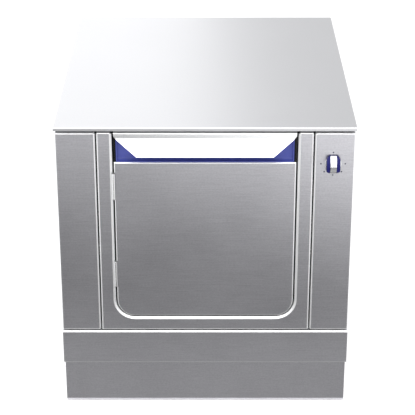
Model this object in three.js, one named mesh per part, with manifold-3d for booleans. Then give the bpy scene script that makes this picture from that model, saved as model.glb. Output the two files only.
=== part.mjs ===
// A front-loading commercial trash compactor: a stainless cabinet with a side-hinged door, and behind it
// a bin under a ram that two belt-driven screws pull down.
// Millimetres. X runs to the right, Y to the back, Z up. The origin is on the floor, under the middle.
import * as THREE from "three";
import { mergeVertices } from "three/addons/utils/BufferGeometryUtils.js";
import Module from "manifold-3d";

const wasm = await Module();
wasm.setup();

// ---- Driving dimensions ----

// Cabinet
const CABINET_WIDTH = 800;
const CABINET_DEPTH = 950; // face of the front panels to the back panel
const CABINET_HEIGHT = 850; // floor to the worktop's upper face
const SHEET = 1.5; // stainless outer sheet
const PLATE = 3; // load-carrying folded plate
const FIT = 0.3; // clearance between pieces that rest on or seat in each other
const PANEL_GAP = 3; // between neighbouring front panels
const PANEL_FOLD = 20; // depth of the returns round a front panel
const SIDE_FOLD = 15; // depth of the returns round a side panel
const FRONT_PANEL_BOTTOM = 239;
const LOWER_PANEL_BOTTOM = 133;

// Worktop and the crosshead under it
const WORKTOP_EDGE = 9;
const WORKTOP_SIDE_OVERHANG = 3;
const WORKTOP_FRONT_OVERHANG = 8;
const SHADOW_GAP = 8; // between the worktop's edge and the front panels
const CROSSHEAD_INSET = 12;

// Plinth, base and feet
const PLINTH_RECESS = 15;
const PLINTH_SIDE_RECESS = 3;
const PLINTH_FLOOR_GAP = 2;
const BASE_BOTTOM = 112;
const BASE_HEIGHT = 143;
const BASE_FRONT_INSET = 24;
const BASE_BACK_INSET = 10;
const GUSSET = 80;
const FOOT_INSET = 55; // from the cabinet's outline to the foot's axis
const FOOT_PAD_RADIUS = 25;
const FOOT_PAD_HEIGHT = 7;
const FOOT_NECK_RADIUS = 8;
const FOOT_NUT_RADIUS = 11;
const FOOT_NUT_HEIGHT = 12;
const FOOT_STEM_RADIUS = 6;
const FOOT_STEM_ABOVE = 20; // stem left above the base's gusset

// Back
const VENT_COUNT = 8;
const VENT_LENGTH = 260;
const VENT_HEIGHT = 7;
const VENT_PITCH = 22;
const VENT_TOP_DROP = 90; // from the back panel's top to the first vent
const GLAND_X = 300;
const GLAND_Z = 300;
const GLAND_REACH = 12; // beyond the back panel
const GLAND_INSIDE = 16;
const GLAND_RADIUS = 10;
const GLAND_NUT_RADIUS = 15;
const GLAND_BORE_RADIUS = 5;
const GLAND_CHAMFER = 4;

// Door and its surround
const DOOR_WIDTH = 487;
const DOOR_BOTTOM = 283.5;
const DOOR_DEPTH = 36;
const DOOR_RADIUS = 50; // lower corners
const DOOR_TOP_RADIUS = 4;
const DOOR_GAP = 4; // between the door's edge and the surround
const SURROUND_STILE = 41;
const SKIN_LINER_STEP = 1.7; // the liner's plate closes the skin's open back
const GASKET_INSET = 3;
const GASKET_WIDTH = 10;
const GASKET_DEPTH = 6; // between the liner and the chamber's front frame
const SILL_CLEARANCE = 3.5; // from the gasket's inner edge to the doorway
const LINTEL = 68; // from the doorway's top to the panels' top

// Handle: a folded grip along the door's top, over a plastic finger pocket
const HANDLE_REACH = 38;
const HANDLE_SHEET = 2;
const HANDLE_BAND = 17.5; // upright band above the bend
const HANDLE_DROP = 38.5; // height of the slanted grip
const HANDLE_HEM = 12;
const HANDLE_BEND_INSET = 6.5; // how far the sides draw in at the bend
const HANDLE_LOW_INSET = 57.5; // and at the low edge
const POCKET_MOUTH = 28.5; // from the grip's low edge to the door skin
const POCKET_INSET = 6.5;
const POCKET_DEPTH = 17;
const POCKET_WALL = 2;
const POCKET_FILLET = 12;

// Door hinges
const HINGE_LENGTH = 74;
const HINGE_DROP = 70.5; // from the top of the door's skin to the upper hinge's middle
const HINGE_RISE = 131; // from the door's bottom to the lower hinge's middle
const KNUCKLE_RADIUS = 4.5;
const LEAF_THICKNESS = 1.4;
const LEAF_DEPTH = 32;
const HINGE_PIN_RADIUS = 2;
const HINGE_PIN_HEAD_RADIUS = 3.5;
const HINGE_PIN_HEAD = 1.5;

// Door catch and interlock
const CATCH_INSET = 98.5; // from the door's free edge to the magnet's middle
const CATCH_SIZE = { width: 50, height: 22 };
const INTERLOCK_INSET = 43.5; // from the door's free edge to the plunger
const INTERLOCK_DROP = 33; // below the door's top
const INTERLOCK_SIZE = { width: 24, depth: 31, height: 30 };
const PLUNGER_RADIUS = 3;
const PLUNGER_LENGTH = 23;
const PLUNGER_BORE_DEPTH = 22;

// Bin
const BIN_DEPTH = 600;
const BIN_HEIGHT = 235;
const BIN_WALL = 1.5;
const BIN_RIM = 5;
const BIN_SIDE_CLEARANCE = 8; // between the bin's wall and the doorway
const BIN_FRONT_INSET = 90; // from the cabinet's front to the bin
const BIN_BACK_CLEARANCE = 12;
const BIN_GRIP_WIDTH = 140;
const BIN_GRIP_REACH = 38;
const BIN_GRIP_HEIGHT = 30;
const BIN_GRIP_BAR = 4;
const BIN_GRIP_DROP = 50; // below the rim

// Chamber
const CHAMBER_SIDE_CLEARANCE = 8; // between the doorway and the chamber's walls
const FRAME_OVERLAP = 14; // of the chamber's front frame behind the surround
const CHAMBER_FLOOR_PLATE = 2;

// Ram
const RAM_CLEARANCE = 10; // round the ram inside the bin
const RAM_PLATE = 8;
const RAM_WRAPPER_HEIGHT = 100;
const RAM_WRAPPER_WALL = 2;
const RAM_BEAM_DEPTH = 60;
const RAM_BEAM_HEIGHT = 45;
const RAM_BEAM_WALL = 4;
const RAM_BEAM_END = 32; // beyond the screws
const RAM_TOP_CLEARANCE = 38; // from the beam to the crosshead, ram up
const RAM_STROKE = 205;
const SLOT_CLEARANCE = 6; // round the beam in the chamber's walls
const NUT_RADIUS = 17;
const NUT_FLANGE_RADIUS = 25;
const NUT_FLANGE = 6;
const NUT_ABOVE = 4;

// Drive
const SCREW_RADIUS = 10;
const JOURNAL_RADIUS = 9;
const TOP_JOURNAL_RADIUS = 8;
const SCREW_BELOW_DECK = 50;
const SCREW_SHOULDER = 2; // from a bearing to the thread's chamfer
const SHAFT_END_GAP = 2;
const BEARING_RADIUS = 24;
const BEARING_FLANGE_RADIUS = 32;
const BEARING_FLANGE = 7;
const BEARING_HEIGHT = 28;
const DECK_HOLE_RADIUS = 12;
const PULLEY_RADIUS = 34;
const MOTOR_PULLEY_RADIUS = 20;
const PULLEY_FLANGE = 5;
const PULLEY_HEIGHT = 26;
const PULLEY_RIM = 2;
const PULLEY_DROP = 4; // below the base's deck
const BELT_THICKNESS = 4;
const BELT_WIDTH = 18;
const MOTOR_RADIUS = 58;
const MOTOR_HEIGHT = 185;
const MOTOR_CAP = 15;
const MOTOR_CAP_INSET = 7.5;
const MOTOR_SHAFT_RADIUS = 8;
const MOTOR_SHAFT_DEPTH = 40;

// Controls
const KNOB_INSET = 59; // from the cabinet's right edge to the knob's axis
const KNOB_DROP = 88.5; // and from the panel's top
const KNOB_WIDTH = 36;
const KNOB_LENGTH = 50;
const KNOB_REACH = 22;
const KNOB_EDGE = 6; // how far the knob stands off the panel at its two ends
const KNOB_CORNER = { across: 9, along: 6 };
const KNOB_BAR_WIDTH = 17;
const KNOB_BAR_BED = 5; // and where its bar is bedded
const KNOB_BAR_PROUD = 1.5;
const KNOB_STEM_RADIUS = 3;
const KNOB_STEM_LENGTH = 18;
const BEZEL_RADIUS = 22;
const BEZEL_THICKNESS = 2;
const SHAFT_HOLE_RADIUS = 6;
const SWITCH_SIZE = 40;
const SWITCH_DEPTH = 42;
const CONTROL_BOX = { width: 110, depth: 160, height: 220, back: 45, top: 150, side: 22 };

// ---- Places worked out from them ----

const OVERALL_DEPTH = HANDLE_REACH + CABINET_DEPTH + GLAND_REACH;
const FRONT = HANDLE_REACH - OVERALL_DEPTH / 2;
const BACK = FRONT + CABINET_DEPTH;
const HALF_WIDTH = CABINET_WIDTH / 2;
const PANEL_TOP = CABINET_HEIGHT - WORKTOP_EDGE - SHADOW_GAP;
const LOWER_PANEL_TOP = FRONT_PANEL_BOTTOM - PANEL_GAP;
const DECK_TOP = BASE_BOTTOM + BASE_HEIGHT;
const BASE_HALF = HALF_WIDTH - SIDE_FOLD - FIT;
const BASE_FRONT = FRONT + BASE_FRONT_INSET;
const BASE_BACK = BACK - BASE_BACK_INSET;

const DOOR_HALF = DOOR_WIDTH / 2;
const SURROUND_HALF = DOOR_HALF + DOOR_GAP + SURROUND_STILE;
const SKIN_TOP = PANEL_TOP - HANDLE_BAND - HANDLE_DROP - POCKET_MOUTH;
const LINER_BACK = FRONT + DOOR_DEPTH;
const LINER_FRONT = LINER_BACK - SKIN_LINER_STEP;
const SKIN_BACK = LINER_FRONT - FIT;
const FRAME_FRONT = LINER_BACK + GASKET_DEPTH;
const FRAME_BACK = FRAME_FRONT + SHEET;
const DOORWAY_HALF = DOOR_HALF - GASKET_INSET - GASKET_WIDTH - SILL_CLEARANCE;
const FLOOR_TOP = DOOR_BOTTOM + GASKET_INSET + GASKET_WIDTH + SILL_CLEARANCE;
const DOORWAY_TOP = PANEL_TOP - LINTEL;
const HINGE_X = -DOOR_HALF - DOOR_GAP / 2;
const HINGE_HEIGHTS = { upper: SKIN_TOP - HINGE_DROP, lower: DOOR_BOTTOM + HINGE_RISE };
const CATCH_X = DOOR_HALF - CATCH_INSET;
const INTERLOCK_X = DOOR_HALF - INTERLOCK_INSET;
const CATCH_Z = PANEL_TOP - INTERLOCK_DROP;

const BIN_HALF = DOORWAY_HALF - BIN_SIDE_CLEARANCE;
const BIN_FRONT = FRONT + BIN_FRONT_INSET;
const BIN_BACK = BIN_FRONT + BIN_DEPTH;
const BIN_BOTTOM = FLOOR_TOP + FIT;
const BIN_TOP = BIN_BOTTOM + BIN_HEIGHT;
const CHAMBER_HALF = DOORWAY_HALF + CHAMBER_SIDE_CLEARANCE;
const CHAMBER_BACK = BIN_BACK + BIN_BACK_CLEARANCE;

const SCREW_X = (CHAMBER_HALF + SHEET + HALF_WIDTH) / 2;
const SCREW_Y = (BIN_FRONT + BIN_BACK) / 2;
const BEAM_TOP = PANEL_TOP - RAM_TOP_CLEARANCE;
const BEAM_BOTTOM = BEAM_TOP - RAM_BEAM_HEIGHT;
const WRAPPER_BOTTOM = BEAM_BOTTOM - FIT - RAM_WRAPPER_HEIGHT;
const RAM_HALF = BIN_HALF - BIN_WALL - RAM_CLEARANCE;
const RAM_DEPTH = BIN_DEPTH - 2 * (BIN_WALL + RAM_CLEARANCE);
const PULLEY_TOP = DECK_TOP - PLATE - PULLEY_DROP;
const PULLEY_BOTTOM = PULLEY_TOP - PULLEY_HEIGHT;
const BELT_BOTTOM = PULLEY_BOTTOM + (PULLEY_HEIGHT - BELT_WIDTH) / 2;
const MOTOR_Y = (CHAMBER_BACK + SHEET + BACK) / 2;
const KNOB_X = HALF_WIDTH - KNOB_INSET;
const KNOB_Z = PANEL_TOP - KNOB_DROP;

// ---- Finishes ----

function finish(color, roughness, metalness) {
  return new THREE.MeshStandardMaterial({ color, roughness, metalness });
}

const stainless = finish(0xc4c6ca, 0.34, 1);
const brightStainless = finish(0xe4e6e8, 0.22, 1);
const platedSteel = finish(0x9a9ca0, 0.45, 1);
const paintedSteel = finish(0x5d6268, 0.5, 0.3);
const bronze = finish(0xb08a4a, 0.4, 1);
const bluePlastic = finish(0x3f4a96, 0.45, 0);
const blackPlastic = finish(0x202124, 0.55, 0);
const blackRubber = finish(0x18181a, 0.85, 0);

// ---- Solids ----

function solidOf(geometry) {
  const bare = geometry.clone();
  bare.deleteAttribute("normal");
  bare.deleteAttribute("uv");
  const merged = mergeVertices(bare, 1e-4);
  return new wasm.Manifold(
    new wasm.Mesh({
      numProp: 3,
      vertProperties: merged.attributes.position.array,
      triVerts: new Uint32Array(merged.index.array),
    }),
  );
}

function geometryOf(solid) {
  const { vertProperties, triVerts } = solid.getMesh();
  const indexed = new THREE.BufferGeometry();
  indexed.setAttribute("position", new THREE.BufferAttribute(vertProperties, 3));
  indexed.setIndex(new THREE.BufferAttribute(triVerts, 1));
  const flat = indexed.toNonIndexed();
  flat.computeVertexNormals();
  return flat;
}

function cut(body, ...tools) {
  return geometryOf(tools.reduce((solid, tool) => solid.subtract(solidOf(tool)), solidOf(body)));
}

function join(body, ...others) {
  return geometryOf(others.reduce((solid, other) => solid.add(solidOf(other)), solidOf(body)));
}

function common(a, b) {
  return geometryOf(solidOf(a).intersect(solidOf(b)));
}

// A box from its low and high limits on each axis.
function block([x0, x1], [y0, y1], [z0, z1]) {
  const box = new THREE.BoxGeometry(x1 - x0, y1 - y0, z1 - z0);
  return box.translate((x0 + x1) / 2, (y0 + y1) / 2, (z0 + z1) / 2);
}

// An upright round bar.
function rod(radius, [z0, z1], x = 0, y = 0, segments = 16) {
  const bar = new THREE.CylinderGeometry(radius, radius, z1 - z0, segments);
  return bar.rotateX(Math.PI / 2).translate(x, y, (z0 + z1) / 2);
}

// A round bar that runs from front to back.
function crossRod(radius, x, [y0, y1], z, segments = 16) {
  const bar = new THREE.CylinderGeometry(radius, radius, y1 - y0, segments);
  return bar.translate(x, (y0 + y1) / 2, z);
}

const ALONG_X = new THREE.Matrix4().makeBasis(
  new THREE.Vector3(0, 1, 0),
  new THREE.Vector3(0, 0, 1),
  new THREE.Vector3(1, 0, 0),
);
const ALONG_Y = new THREE.Matrix4().makeBasis(
  new THREE.Vector3(1, 0, 0),
  new THREE.Vector3(0, 0, 1),
  new THREE.Vector3(0, -1, 0),
);

// Curve divisions: a quarter round takes twice as many flats.
const ARC_STEPS = 4;
const BELT_STEPS = 6;

function extrude(shape, length, steps = ARC_STEPS) {
  return new THREE.ExtrudeGeometry(shape, { depth: length, bevelEnabled: false, curveSegments: steps });
}

// A section drawn on Y and Z, extruded across the cabinet.
function crosswise(shape, [x0, x1]) {
  return extrude(shape, x1 - x0).applyMatrix4(ALONG_X).translate(x0, 0, 0);
}

// An outline drawn on X and Z, extruded from front to back.
function frontwise(shape, [y0, y1]) {
  return extrude(shape, y1 - y0).applyMatrix4(ALONG_Y).translate(0, y1, 0);
}

// An upright outline, symmetric about the middle, with its own radii at the lower and upper corners.
function doorOutline(half, bottom, top, lowRadius, highRadius = 0) {
  const shape = new THREE.Shape();
  shape.moveTo(-half + lowRadius, bottom);
  shape.lineTo(half - lowRadius, bottom);
  shape.absarc(half - lowRadius, bottom + lowRadius, lowRadius, -Math.PI / 2, 0);
  shape.lineTo(half, top - highRadius);
  if (highRadius > 0) shape.absarc(half - highRadius, top - highRadius, highRadius, 0, Math.PI / 2);
  shape.lineTo(-half + highRadius, top);
  if (highRadius > 0) {
    shape.absarc(-half + highRadius, top - highRadius, highRadius, Math.PI / 2, Math.PI);
  }
  shape.lineTo(-half, bottom + lowRadius);
  shape.absarc(-half + lowRadius, bottom + lowRadius, lowRadius, Math.PI, Math.PI * 1.5);
  return shape;
}

function polygon(points) {
  return new THREE.Shape(points.map(([a, b]) => new THREE.Vector2(a, b)));
}

// A turned solid about Z. The profile is radius and height, anticlockwise, on the axis or closed on itself.
function turned(profile, segments = 16) {
  const closed = profile[0][0] === 0 ? profile : [...profile, profile[0]];
  return new THREE.LatheGeometry(
    closed.map(([r, z]) => new THREE.Vector2(r, z)),
    segments,
  ).rotateX(Math.PI / 2);
}

// A folded tray: a box with one face open. The open side is one of -x, +x, -y, +y, -z and +z.
function tray([x0, x1], [y0, y1], [z0, z1], wall, open) {
  const low = [x0 + wall, y0 + wall, z0 + wall];
  const high = [x1 - wall, y1 - wall, z1 - wall];
  const axis = "xyz".indexOf(open[1]);
  if (open[0] === "+") high[axis] += 2 * wall;
  else low[axis] -= 2 * wall;
  const hollow = block([low[0], high[0]], [low[1], high[1]], [low[2], high[2]]);
  return cut(block([x0, x1], [y0, y1], [z0, z1]), hollow);
}

function piece(name, geometry, material, position = [0, 0, 0]) {
  const mesh = new THREE.Mesh(geometry, material);
  mesh.name = name;
  mesh.position.set(...position);
  return mesh;
}

function assembly(...pieces) {
  const group = new THREE.Group();
  group.add(...pieces.flat(Infinity));
  return group;
}

const SIDES = [
  ["left", -1],
  ["right", 1],
];

// Limits on X that run outwards from the middle, on one side.
function sideways(side, inner, outer) {
  return side < 0 ? [-outer, -inner] : [inner, outer];
}

// ---- Cabinet shell ----

function worktop() {
  const half = HALF_WIDTH + WORKTOP_SIDE_OVERHANG;
  return piece(
    "worktop",
    tray(
      [-half, half],
      [FRONT - WORKTOP_FRONT_OVERHANG, BACK],
      [CABINET_HEIGHT - WORKTOP_EDGE, CABINET_HEIGHT],
      SHEET,
      "-z",
    ),
    stainless,
  );
}

function crosshead() {
  const half = HALF_WIDTH - CROSSHEAD_INSET;
  return piece(
    "crosshead",
    tray(
      [-half, half],
      [FRONT + CROSSHEAD_INSET, BACK - CROSSHEAD_INSET],
      [PANEL_TOP + FIT, CABINET_HEIGHT - SHEET - FIT],
      PLATE,
      "+z",
    ),
    platedSteel,
  );
}

function sidePanel(name, side) {
  return piece(
    `side_panel_${name}`,
    tray(
      sideways(side, HALF_WIDTH - SIDE_FOLD, HALF_WIDTH),
      [FRONT + PANEL_FOLD + FIT, BACK - SHEET - FIT],
      [LOWER_PANEL_BOTTOM, PANEL_TOP],
      SHEET,
      side < 0 ? "+x" : "-x",
    ),
    stainless,
  );
}

function backPanel() {
  const through = [BACK - 2 * SHEET, BACK + SHEET];
  const vents = [];
  for (let i = 0; i < VENT_COUNT; i += 1) {
    const top = PANEL_TOP - VENT_TOP_DROP - i * VENT_PITCH;
    vents.push(block([-VENT_LENGTH / 2, VENT_LENGTH / 2], through, [top - VENT_HEIGHT, top]));
  }
  const sheet = block([-HALF_WIDTH, HALF_WIDTH], [BACK - SHEET, BACK], [LOWER_PANEL_BOTTOM, PANEL_TOP]);
  const glandHole = crossRod(GLAND_RADIUS + FIT, GLAND_X, through, GLAND_Z);
  return piece("back_panel", cut(sheet, ...vents, glandHole), stainless);
}

function cableGland() {
  const body = turned([
    [GLAND_BORE_RADIUS, -GLAND_INSIDE],
    [GLAND_RADIUS, -GLAND_INSIDE],
    [GLAND_RADIUS, FIT],
    [GLAND_NUT_RADIUS, FIT],
    [GLAND_NUT_RADIUS, GLAND_REACH - GLAND_CHAMFER],
    [GLAND_RADIUS, GLAND_REACH],
    [GLAND_BORE_RADIUS, GLAND_REACH],
  ]);
  const mesh = piece("cable_gland", body, blackPlastic, [GLAND_X, BACK, GLAND_Z]);
  mesh.rotation.x = -Math.PI / 2;
  return mesh;
}

// A front panel is a folded tray with its open side to the back.
function frontTray(xLimits, zLimits) {
  return tray(xLimits, [FRONT, FRONT + PANEL_FOLD], zLimits, SHEET, "+y");
}

function frontPanelLeft() {
  const limits = [-HALF_WIDTH, -SURROUND_HALF - PANEL_GAP];
  return piece("front_panel_left", frontTray(limits, [FRONT_PANEL_BOTTOM, PANEL_TOP]), stainless);
}

function controlPanel() {
  const panel = frontTray([SURROUND_HALF + PANEL_GAP, HALF_WIDTH], [FRONT_PANEL_BOTTOM, PANEL_TOP]);
  const hole = crossRod(SHAFT_HOLE_RADIUS, KNOB_X, [FRONT - SHEET, FRONT + 2 * SHEET], KNOB_Z);
  return piece("control_panel", cut(panel, hole), stainless);
}

function lowerFrontPanel() {
  const panel = frontTray([-HALF_WIDTH, HALF_WIDTH], [LOWER_PANEL_BOTTOM, LOWER_PANEL_TOP]);
  return piece("lower_front_panel", panel, stainless);
}

// Room for a hinge's knuckles, cut from the door and from the surround.
function hingeNotches() {
  const reach = HINGE_LENGTH / 2 + 2 * HINGE_PIN_HEAD;
  return Object.values(HINGE_HEIGHTS).map((z) =>
    rod(KNUCKLE_RADIUS + 2 * FIT, [z - reach, z + reach], HINGE_X, FRONT),
  );
}

function doorSurround() {
  const face = frontTray([-SURROUND_HALF, SURROUND_HALF], [FRONT_PANEL_BOTTOM, PANEL_TOP]);
  const half = DOOR_HALF + DOOR_GAP;
  const bottom = DOOR_BOTTOM - DOOR_GAP;
  const radius = DOOR_RADIUS + DOOR_GAP;
  const jamb = doorOutline(half + SHEET, bottom - SHEET, PANEL_TOP, radius + SHEET);
  const opening = doorOutline(half, bottom, PANEL_TOP + SHEET, radius);
  const solid = join(face, frontwise(jamb, [FRONT, FRAME_FRONT - FIT]));
  const clear = frontwise(opening, [FRONT - SHEET, FRAME_FRONT + SHEET]);
  return piece("door_surround", cut(solid, clear, ...hingeNotches()), stainless);
}

function plinth() {
  const half = HALF_WIDTH - PLINTH_SIDE_RECESS;
  const heights = [PLINTH_FLOOR_GAP, LOWER_PANEL_BOTTOM - FIT];
  const face = FRONT + PLINTH_RECESS;
  const front = piece("plinth_front", block([-half, half], [face, face + SHEET], heights), stainless);
  const sides = SIDES.map(([name, side]) =>
    piece(
      `plinth_${name}`,
      block(sideways(side, half - SHEET, half), [face + SHEET + FIT, BACK], heights),
      stainless,
    ),
  );
  return [front, ...sides];
}

// ---- Base, with the feet ----

const FOOT_PLACES = [
  ["front_left", -1, FRONT + FOOT_INSET],
  ["front_right", 1, FRONT + FOOT_INSET],
  ["rear_left", -1, BACK - FOOT_INSET],
  ["rear_right", 1, BACK - FOOT_INSET],
];
const FOOT_X = HALF_WIDTH - FOOT_INSET;

function baseFrame() {
  const shell = tray([-BASE_HALF, BASE_HALF], [BASE_FRONT, BASE_BACK], [BASE_BOTTOM, DECK_TOP], PLATE, "-z");
  const gussets = [];
  const holes = [];
  for (const [, side, y] of FOOT_PLACES) {
    const yLimits = y < 0 ? [BASE_FRONT, BASE_FRONT + GUSSET] : [BASE_BACK - GUSSET, BASE_BACK];
    const zLimits = [BASE_BOTTOM, BASE_BOTTOM + PLATE];
    gussets.push(block(sideways(side, BASE_HALF - GUSSET, BASE_HALF), yLimits, zLimits));
    holes.push(rod(FOOT_STEM_RADIUS + FIT, [BASE_BOTTOM - PLATE, BASE_BOTTOM + 2 * PLATE], side * FOOT_X, y));
  }
  const deck = [DECK_TOP - 2 * PLATE, DECK_TOP + PLATE];
  for (const [, side] of SIDES) holes.push(rod(DECK_HOLE_RADIUS, deck, side * SCREW_X, SCREW_Y));
  holes.push(rod(DECK_HOLE_RADIUS, deck, 0, MOTOR_Y));
  return piece("base_frame", cut(join(shell, ...gussets), ...holes), platedSteel);
}

function foot(name, side, y) {
  const nutTop = BASE_BOTTOM - FIT;
  const profile = [
    [0, 0],
    [FOOT_PAD_RADIUS, 0],
    [FOOT_PAD_RADIUS, FOOT_PAD_HEIGHT],
    [FOOT_NECK_RADIUS, 2 * FOOT_PAD_HEIGHT],
    [FOOT_STEM_RADIUS, 2 * FOOT_PAD_HEIGHT],
    [FOOT_STEM_RADIUS, nutTop - FOOT_NUT_HEIGHT],
    [FOOT_NUT_RADIUS, nutTop - FOOT_NUT_HEIGHT],
    [FOOT_NUT_RADIUS, nutTop],
    [FOOT_STEM_RADIUS, nutTop],
    [FOOT_STEM_RADIUS, BASE_BOTTOM + FOOT_STEM_ABOVE],
    [0, BASE_BOTTOM + FOOT_STEM_ABOVE],
  ];
  return piece(`foot_${name}`, turned(profile, 14), platedSteel, [side * FOOT_X, y, 0]);
}

// ---- Compaction chamber ----

function chamberFloor() {
  const half = CHAMBER_HALF - FIT;
  return piece(
    "chamber_floor",
    tray(
      [-half, half],
      [FRAME_BACK + FIT, CHAMBER_BACK - FIT],
      [DECK_TOP + FIT, FLOOR_TOP],
      CHAMBER_FLOOR_PLATE,
      "-z",
    ),
    stainless,
  );
}

function chamberWall(name, side) {
  const wall = block(
    sideways(side, CHAMBER_HALF, CHAMBER_HALF + SHEET),
    [FRAME_BACK + FIT, CHAMBER_BACK + SHEET],
    [DECK_TOP + FIT, PANEL_TOP],
  );
  const reach = RAM_BEAM_DEPTH / 2 + SLOT_CLEARANCE;
  const slot = block(
    sideways(side, CHAMBER_HALF - SHEET, CHAMBER_HALF + 2 * SHEET),
    [SCREW_Y - reach, SCREW_Y + reach],
    [BEAM_BOTTOM - RAM_STROKE - SLOT_CLEARANCE, BEAM_TOP + SLOT_CLEARANCE],
  );
  return piece(`chamber_wall_${name}`, cut(wall, slot), stainless);
}

function chamberBack() {
  const half = CHAMBER_HALF - FIT;
  const sheet = block([-half, half], [CHAMBER_BACK, CHAMBER_BACK + SHEET], [DECK_TOP + FIT, PANEL_TOP]);
  return piece("chamber_back", sheet, stainless);
}

// The ring that the door's gasket closes on.
function chamberFrontFrame() {
  const half = DOOR_HALF + DOOR_GAP + FRAME_OVERLAP;
  const sheet = block([-half, half], [FRAME_FRONT, FRAME_BACK], [DECK_TOP + FIT, PANEL_TOP]);
  const through = [FRAME_FRONT - SHEET, FRAME_BACK + SHEET];
  const doorway = block([-DOORWAY_HALF, DOORWAY_HALF], through, [FLOOR_TOP, DOORWAY_TOP]);
  const plungerHole = crossRod(PLUNGER_RADIUS + FIT, INTERLOCK_X, through, CATCH_Z, 12);
  return piece("chamber_front_frame", cut(sheet, doorway, plungerHole), stainless);
}

// ---- Door ----

function doorSkin() {
  const outer = doorOutline(DOOR_HALF, DOOR_BOTTOM, SKIN_TOP, DOOR_RADIUS, DOOR_TOP_RADIUS);
  const inner = doorOutline(
    DOOR_HALF - SHEET,
    DOOR_BOTTOM + SHEET,
    SKIN_TOP - SHEET,
    DOOR_RADIUS - SHEET,
    DOOR_TOP_RADIUS - SHEET,
  );
  const hollow = frontwise(inner, [FRONT + SHEET, SKIN_BACK + SHEET]);
  const behindPocket = block(
    [SHEET - DOOR_HALF, DOOR_HALF - SHEET],
    [FRONT + POCKET_DEPTH, SKIN_BACK + SHEET],
    [SKIN_TOP - 2 * SHEET, SKIN_TOP + SHEET],
  );
  const solid = frontwise(outer, [FRONT, SKIN_BACK]);
  return piece("door_skin", cut(solid, hollow, behindPocket, ...hingeNotches()), stainless);
}

function doorLiner() {
  const nest = SHEET + FIT;
  const plate = doorOutline(DOOR_HALF - FIT, DOOR_BOTTOM + FIT, PANEL_TOP, DOOR_RADIUS - FIT);
  const top = PANEL_TOP - HANDLE_SHEET - FIT;
  const outer = doorOutline(DOOR_HALF - nest, DOOR_BOTTOM + nest, top, DOOR_RADIUS - nest);
  const inner = doorOutline(
    DOOR_HALF - nest - SHEET,
    DOOR_BOTTOM + nest + SHEET,
    top - SHEET,
    DOOR_RADIUS - nest - SHEET,
  );
  const rimFront = FRONT + POCKET_DEPTH + SHEET;
  const rim = cut(
    frontwise(outer, [rimFront, LINER_BACK - SHEET / 2]),
    frontwise(inner, [rimFront - SHEET, LINER_BACK]),
  );
  return piece("door_liner", join(frontwise(plate, [LINER_FRONT, LINER_BACK]), rim), stainless);
}

function doorGasket() {
  const ring = (inset) =>
    doorOutline(
      DOOR_HALF - inset,
      DOOR_BOTTOM + inset,
      DOORWAY_TOP + SILL_CLEARANCE + GASKET_WIDTH + GASKET_INSET - inset,
      DOOR_RADIUS - inset,
      GASKET_WIDTH + SILL_CLEARANCE + GASKET_INSET - inset,
    );
  const outer = frontwise(ring(GASKET_INSET), [LINER_BACK + FIT, FRAME_FRONT - FIT]);
  const hole = frontwise(ring(GASKET_INSET + GASKET_WIDTH), [LINER_BACK, FRAME_FRONT]);
  return piece("door_gasket", cut(outer, hole), blackRubber);
}

function handleGrip() {
  const bend = PANEL_TOP - HANDLE_BAND;
  const low = bend - HANDLE_DROP;
  const lean = Math.atan2(HANDLE_REACH, HANDLE_DROP);
  const innerBend = bend - HANDLE_SHEET * Math.tan(lean / 2);
  const innerLow = low + HANDLE_SHEET;
  const innerReach = ((innerBend - innerLow) * HANDLE_REACH) / HANDLE_DROP - HANDLE_SHEET;
  const section = polygon([
    [SKIN_BACK, PANEL_TOP],
    [FRONT, PANEL_TOP],
    [FRONT, bend],
    [FRONT - HANDLE_REACH, low],
    [FRONT - HANDLE_REACH + HANDLE_HEM, low],
    [FRONT - HANDLE_REACH + HANDLE_HEM, innerLow],
    [FRONT - innerReach, innerLow],
    [FRONT + HANDLE_SHEET, innerBend],
    [FRONT + HANDLE_SHEET, PANEL_TOP - HANDLE_SHEET],
    [SKIN_BACK, PANEL_TOP - HANDLE_SHEET],
  ]);
  const bendHalf = DOOR_HALF - HANDLE_BEND_INSET;
  const lowHalf = DOOR_HALF - HANDLE_LOW_INSET;
  const outline = polygon([
    [-lowHalf, low - HANDLE_SHEET],
    [lowHalf, low - HANDLE_SHEET],
    [lowHalf, low],
    [bendHalf, bend],
    [DOOR_HALF, PANEL_TOP - HANDLE_SHEET],
    [DOOR_HALF, PANEL_TOP + HANDLE_SHEET],
    [-DOOR_HALF, PANEL_TOP + HANDLE_SHEET],
    [-DOOR_HALF, PANEL_TOP - HANDLE_SHEET],
    [-bendHalf, bend],
    [-lowHalf, low],
  ]);
  const folded = crosswise(section, [-DOOR_HALF, DOOR_HALF]);
  const trim = frontwise(outline, [FRONT - HANDLE_REACH - HANDLE_SHEET, LINER_BACK]);
  return piece("handle_grip", common(folded, trim), brightStainless);
}

function handleRecess() {
  const half = DOOR_HALF - POCKET_INSET;
  const face = FRONT + HANDLE_SHEET + FIT;
  const back = FRONT + POCKET_DEPTH;
  const bottom = SKIN_TOP + FIT;
  const top = PANEL_TOP - HANDLE_SHEET - FIT;
  const section = new THREE.Shape();
  section.moveTo(face, bottom);
  section.lineTo(back, bottom);
  section.lineTo(back, top);
  section.lineTo(face, top);
  section.lineTo(face, top - POCKET_WALL);
  section.lineTo(back - POCKET_WALL, top - POCKET_WALL);
  section.lineTo(back - POCKET_WALL, bottom + POCKET_WALL + POCKET_FILLET);
  section.absarc(
    back - POCKET_WALL - POCKET_FILLET,
    bottom + POCKET_WALL + POCKET_FILLET,
    POCKET_FILLET,
    0,
    -Math.PI / 2,
    true,
  );
  section.lineTo(face, bottom + POCKET_WALL);
  const ends = SIDES.map(([, side]) =>
    block(sideways(side, half - POCKET_WALL, half), [face, back], [bottom, top]),
  );
  return piece("handle_recess", join(crosswise(section, [-half, half]), ...ends), bluePlastic);
}

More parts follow.
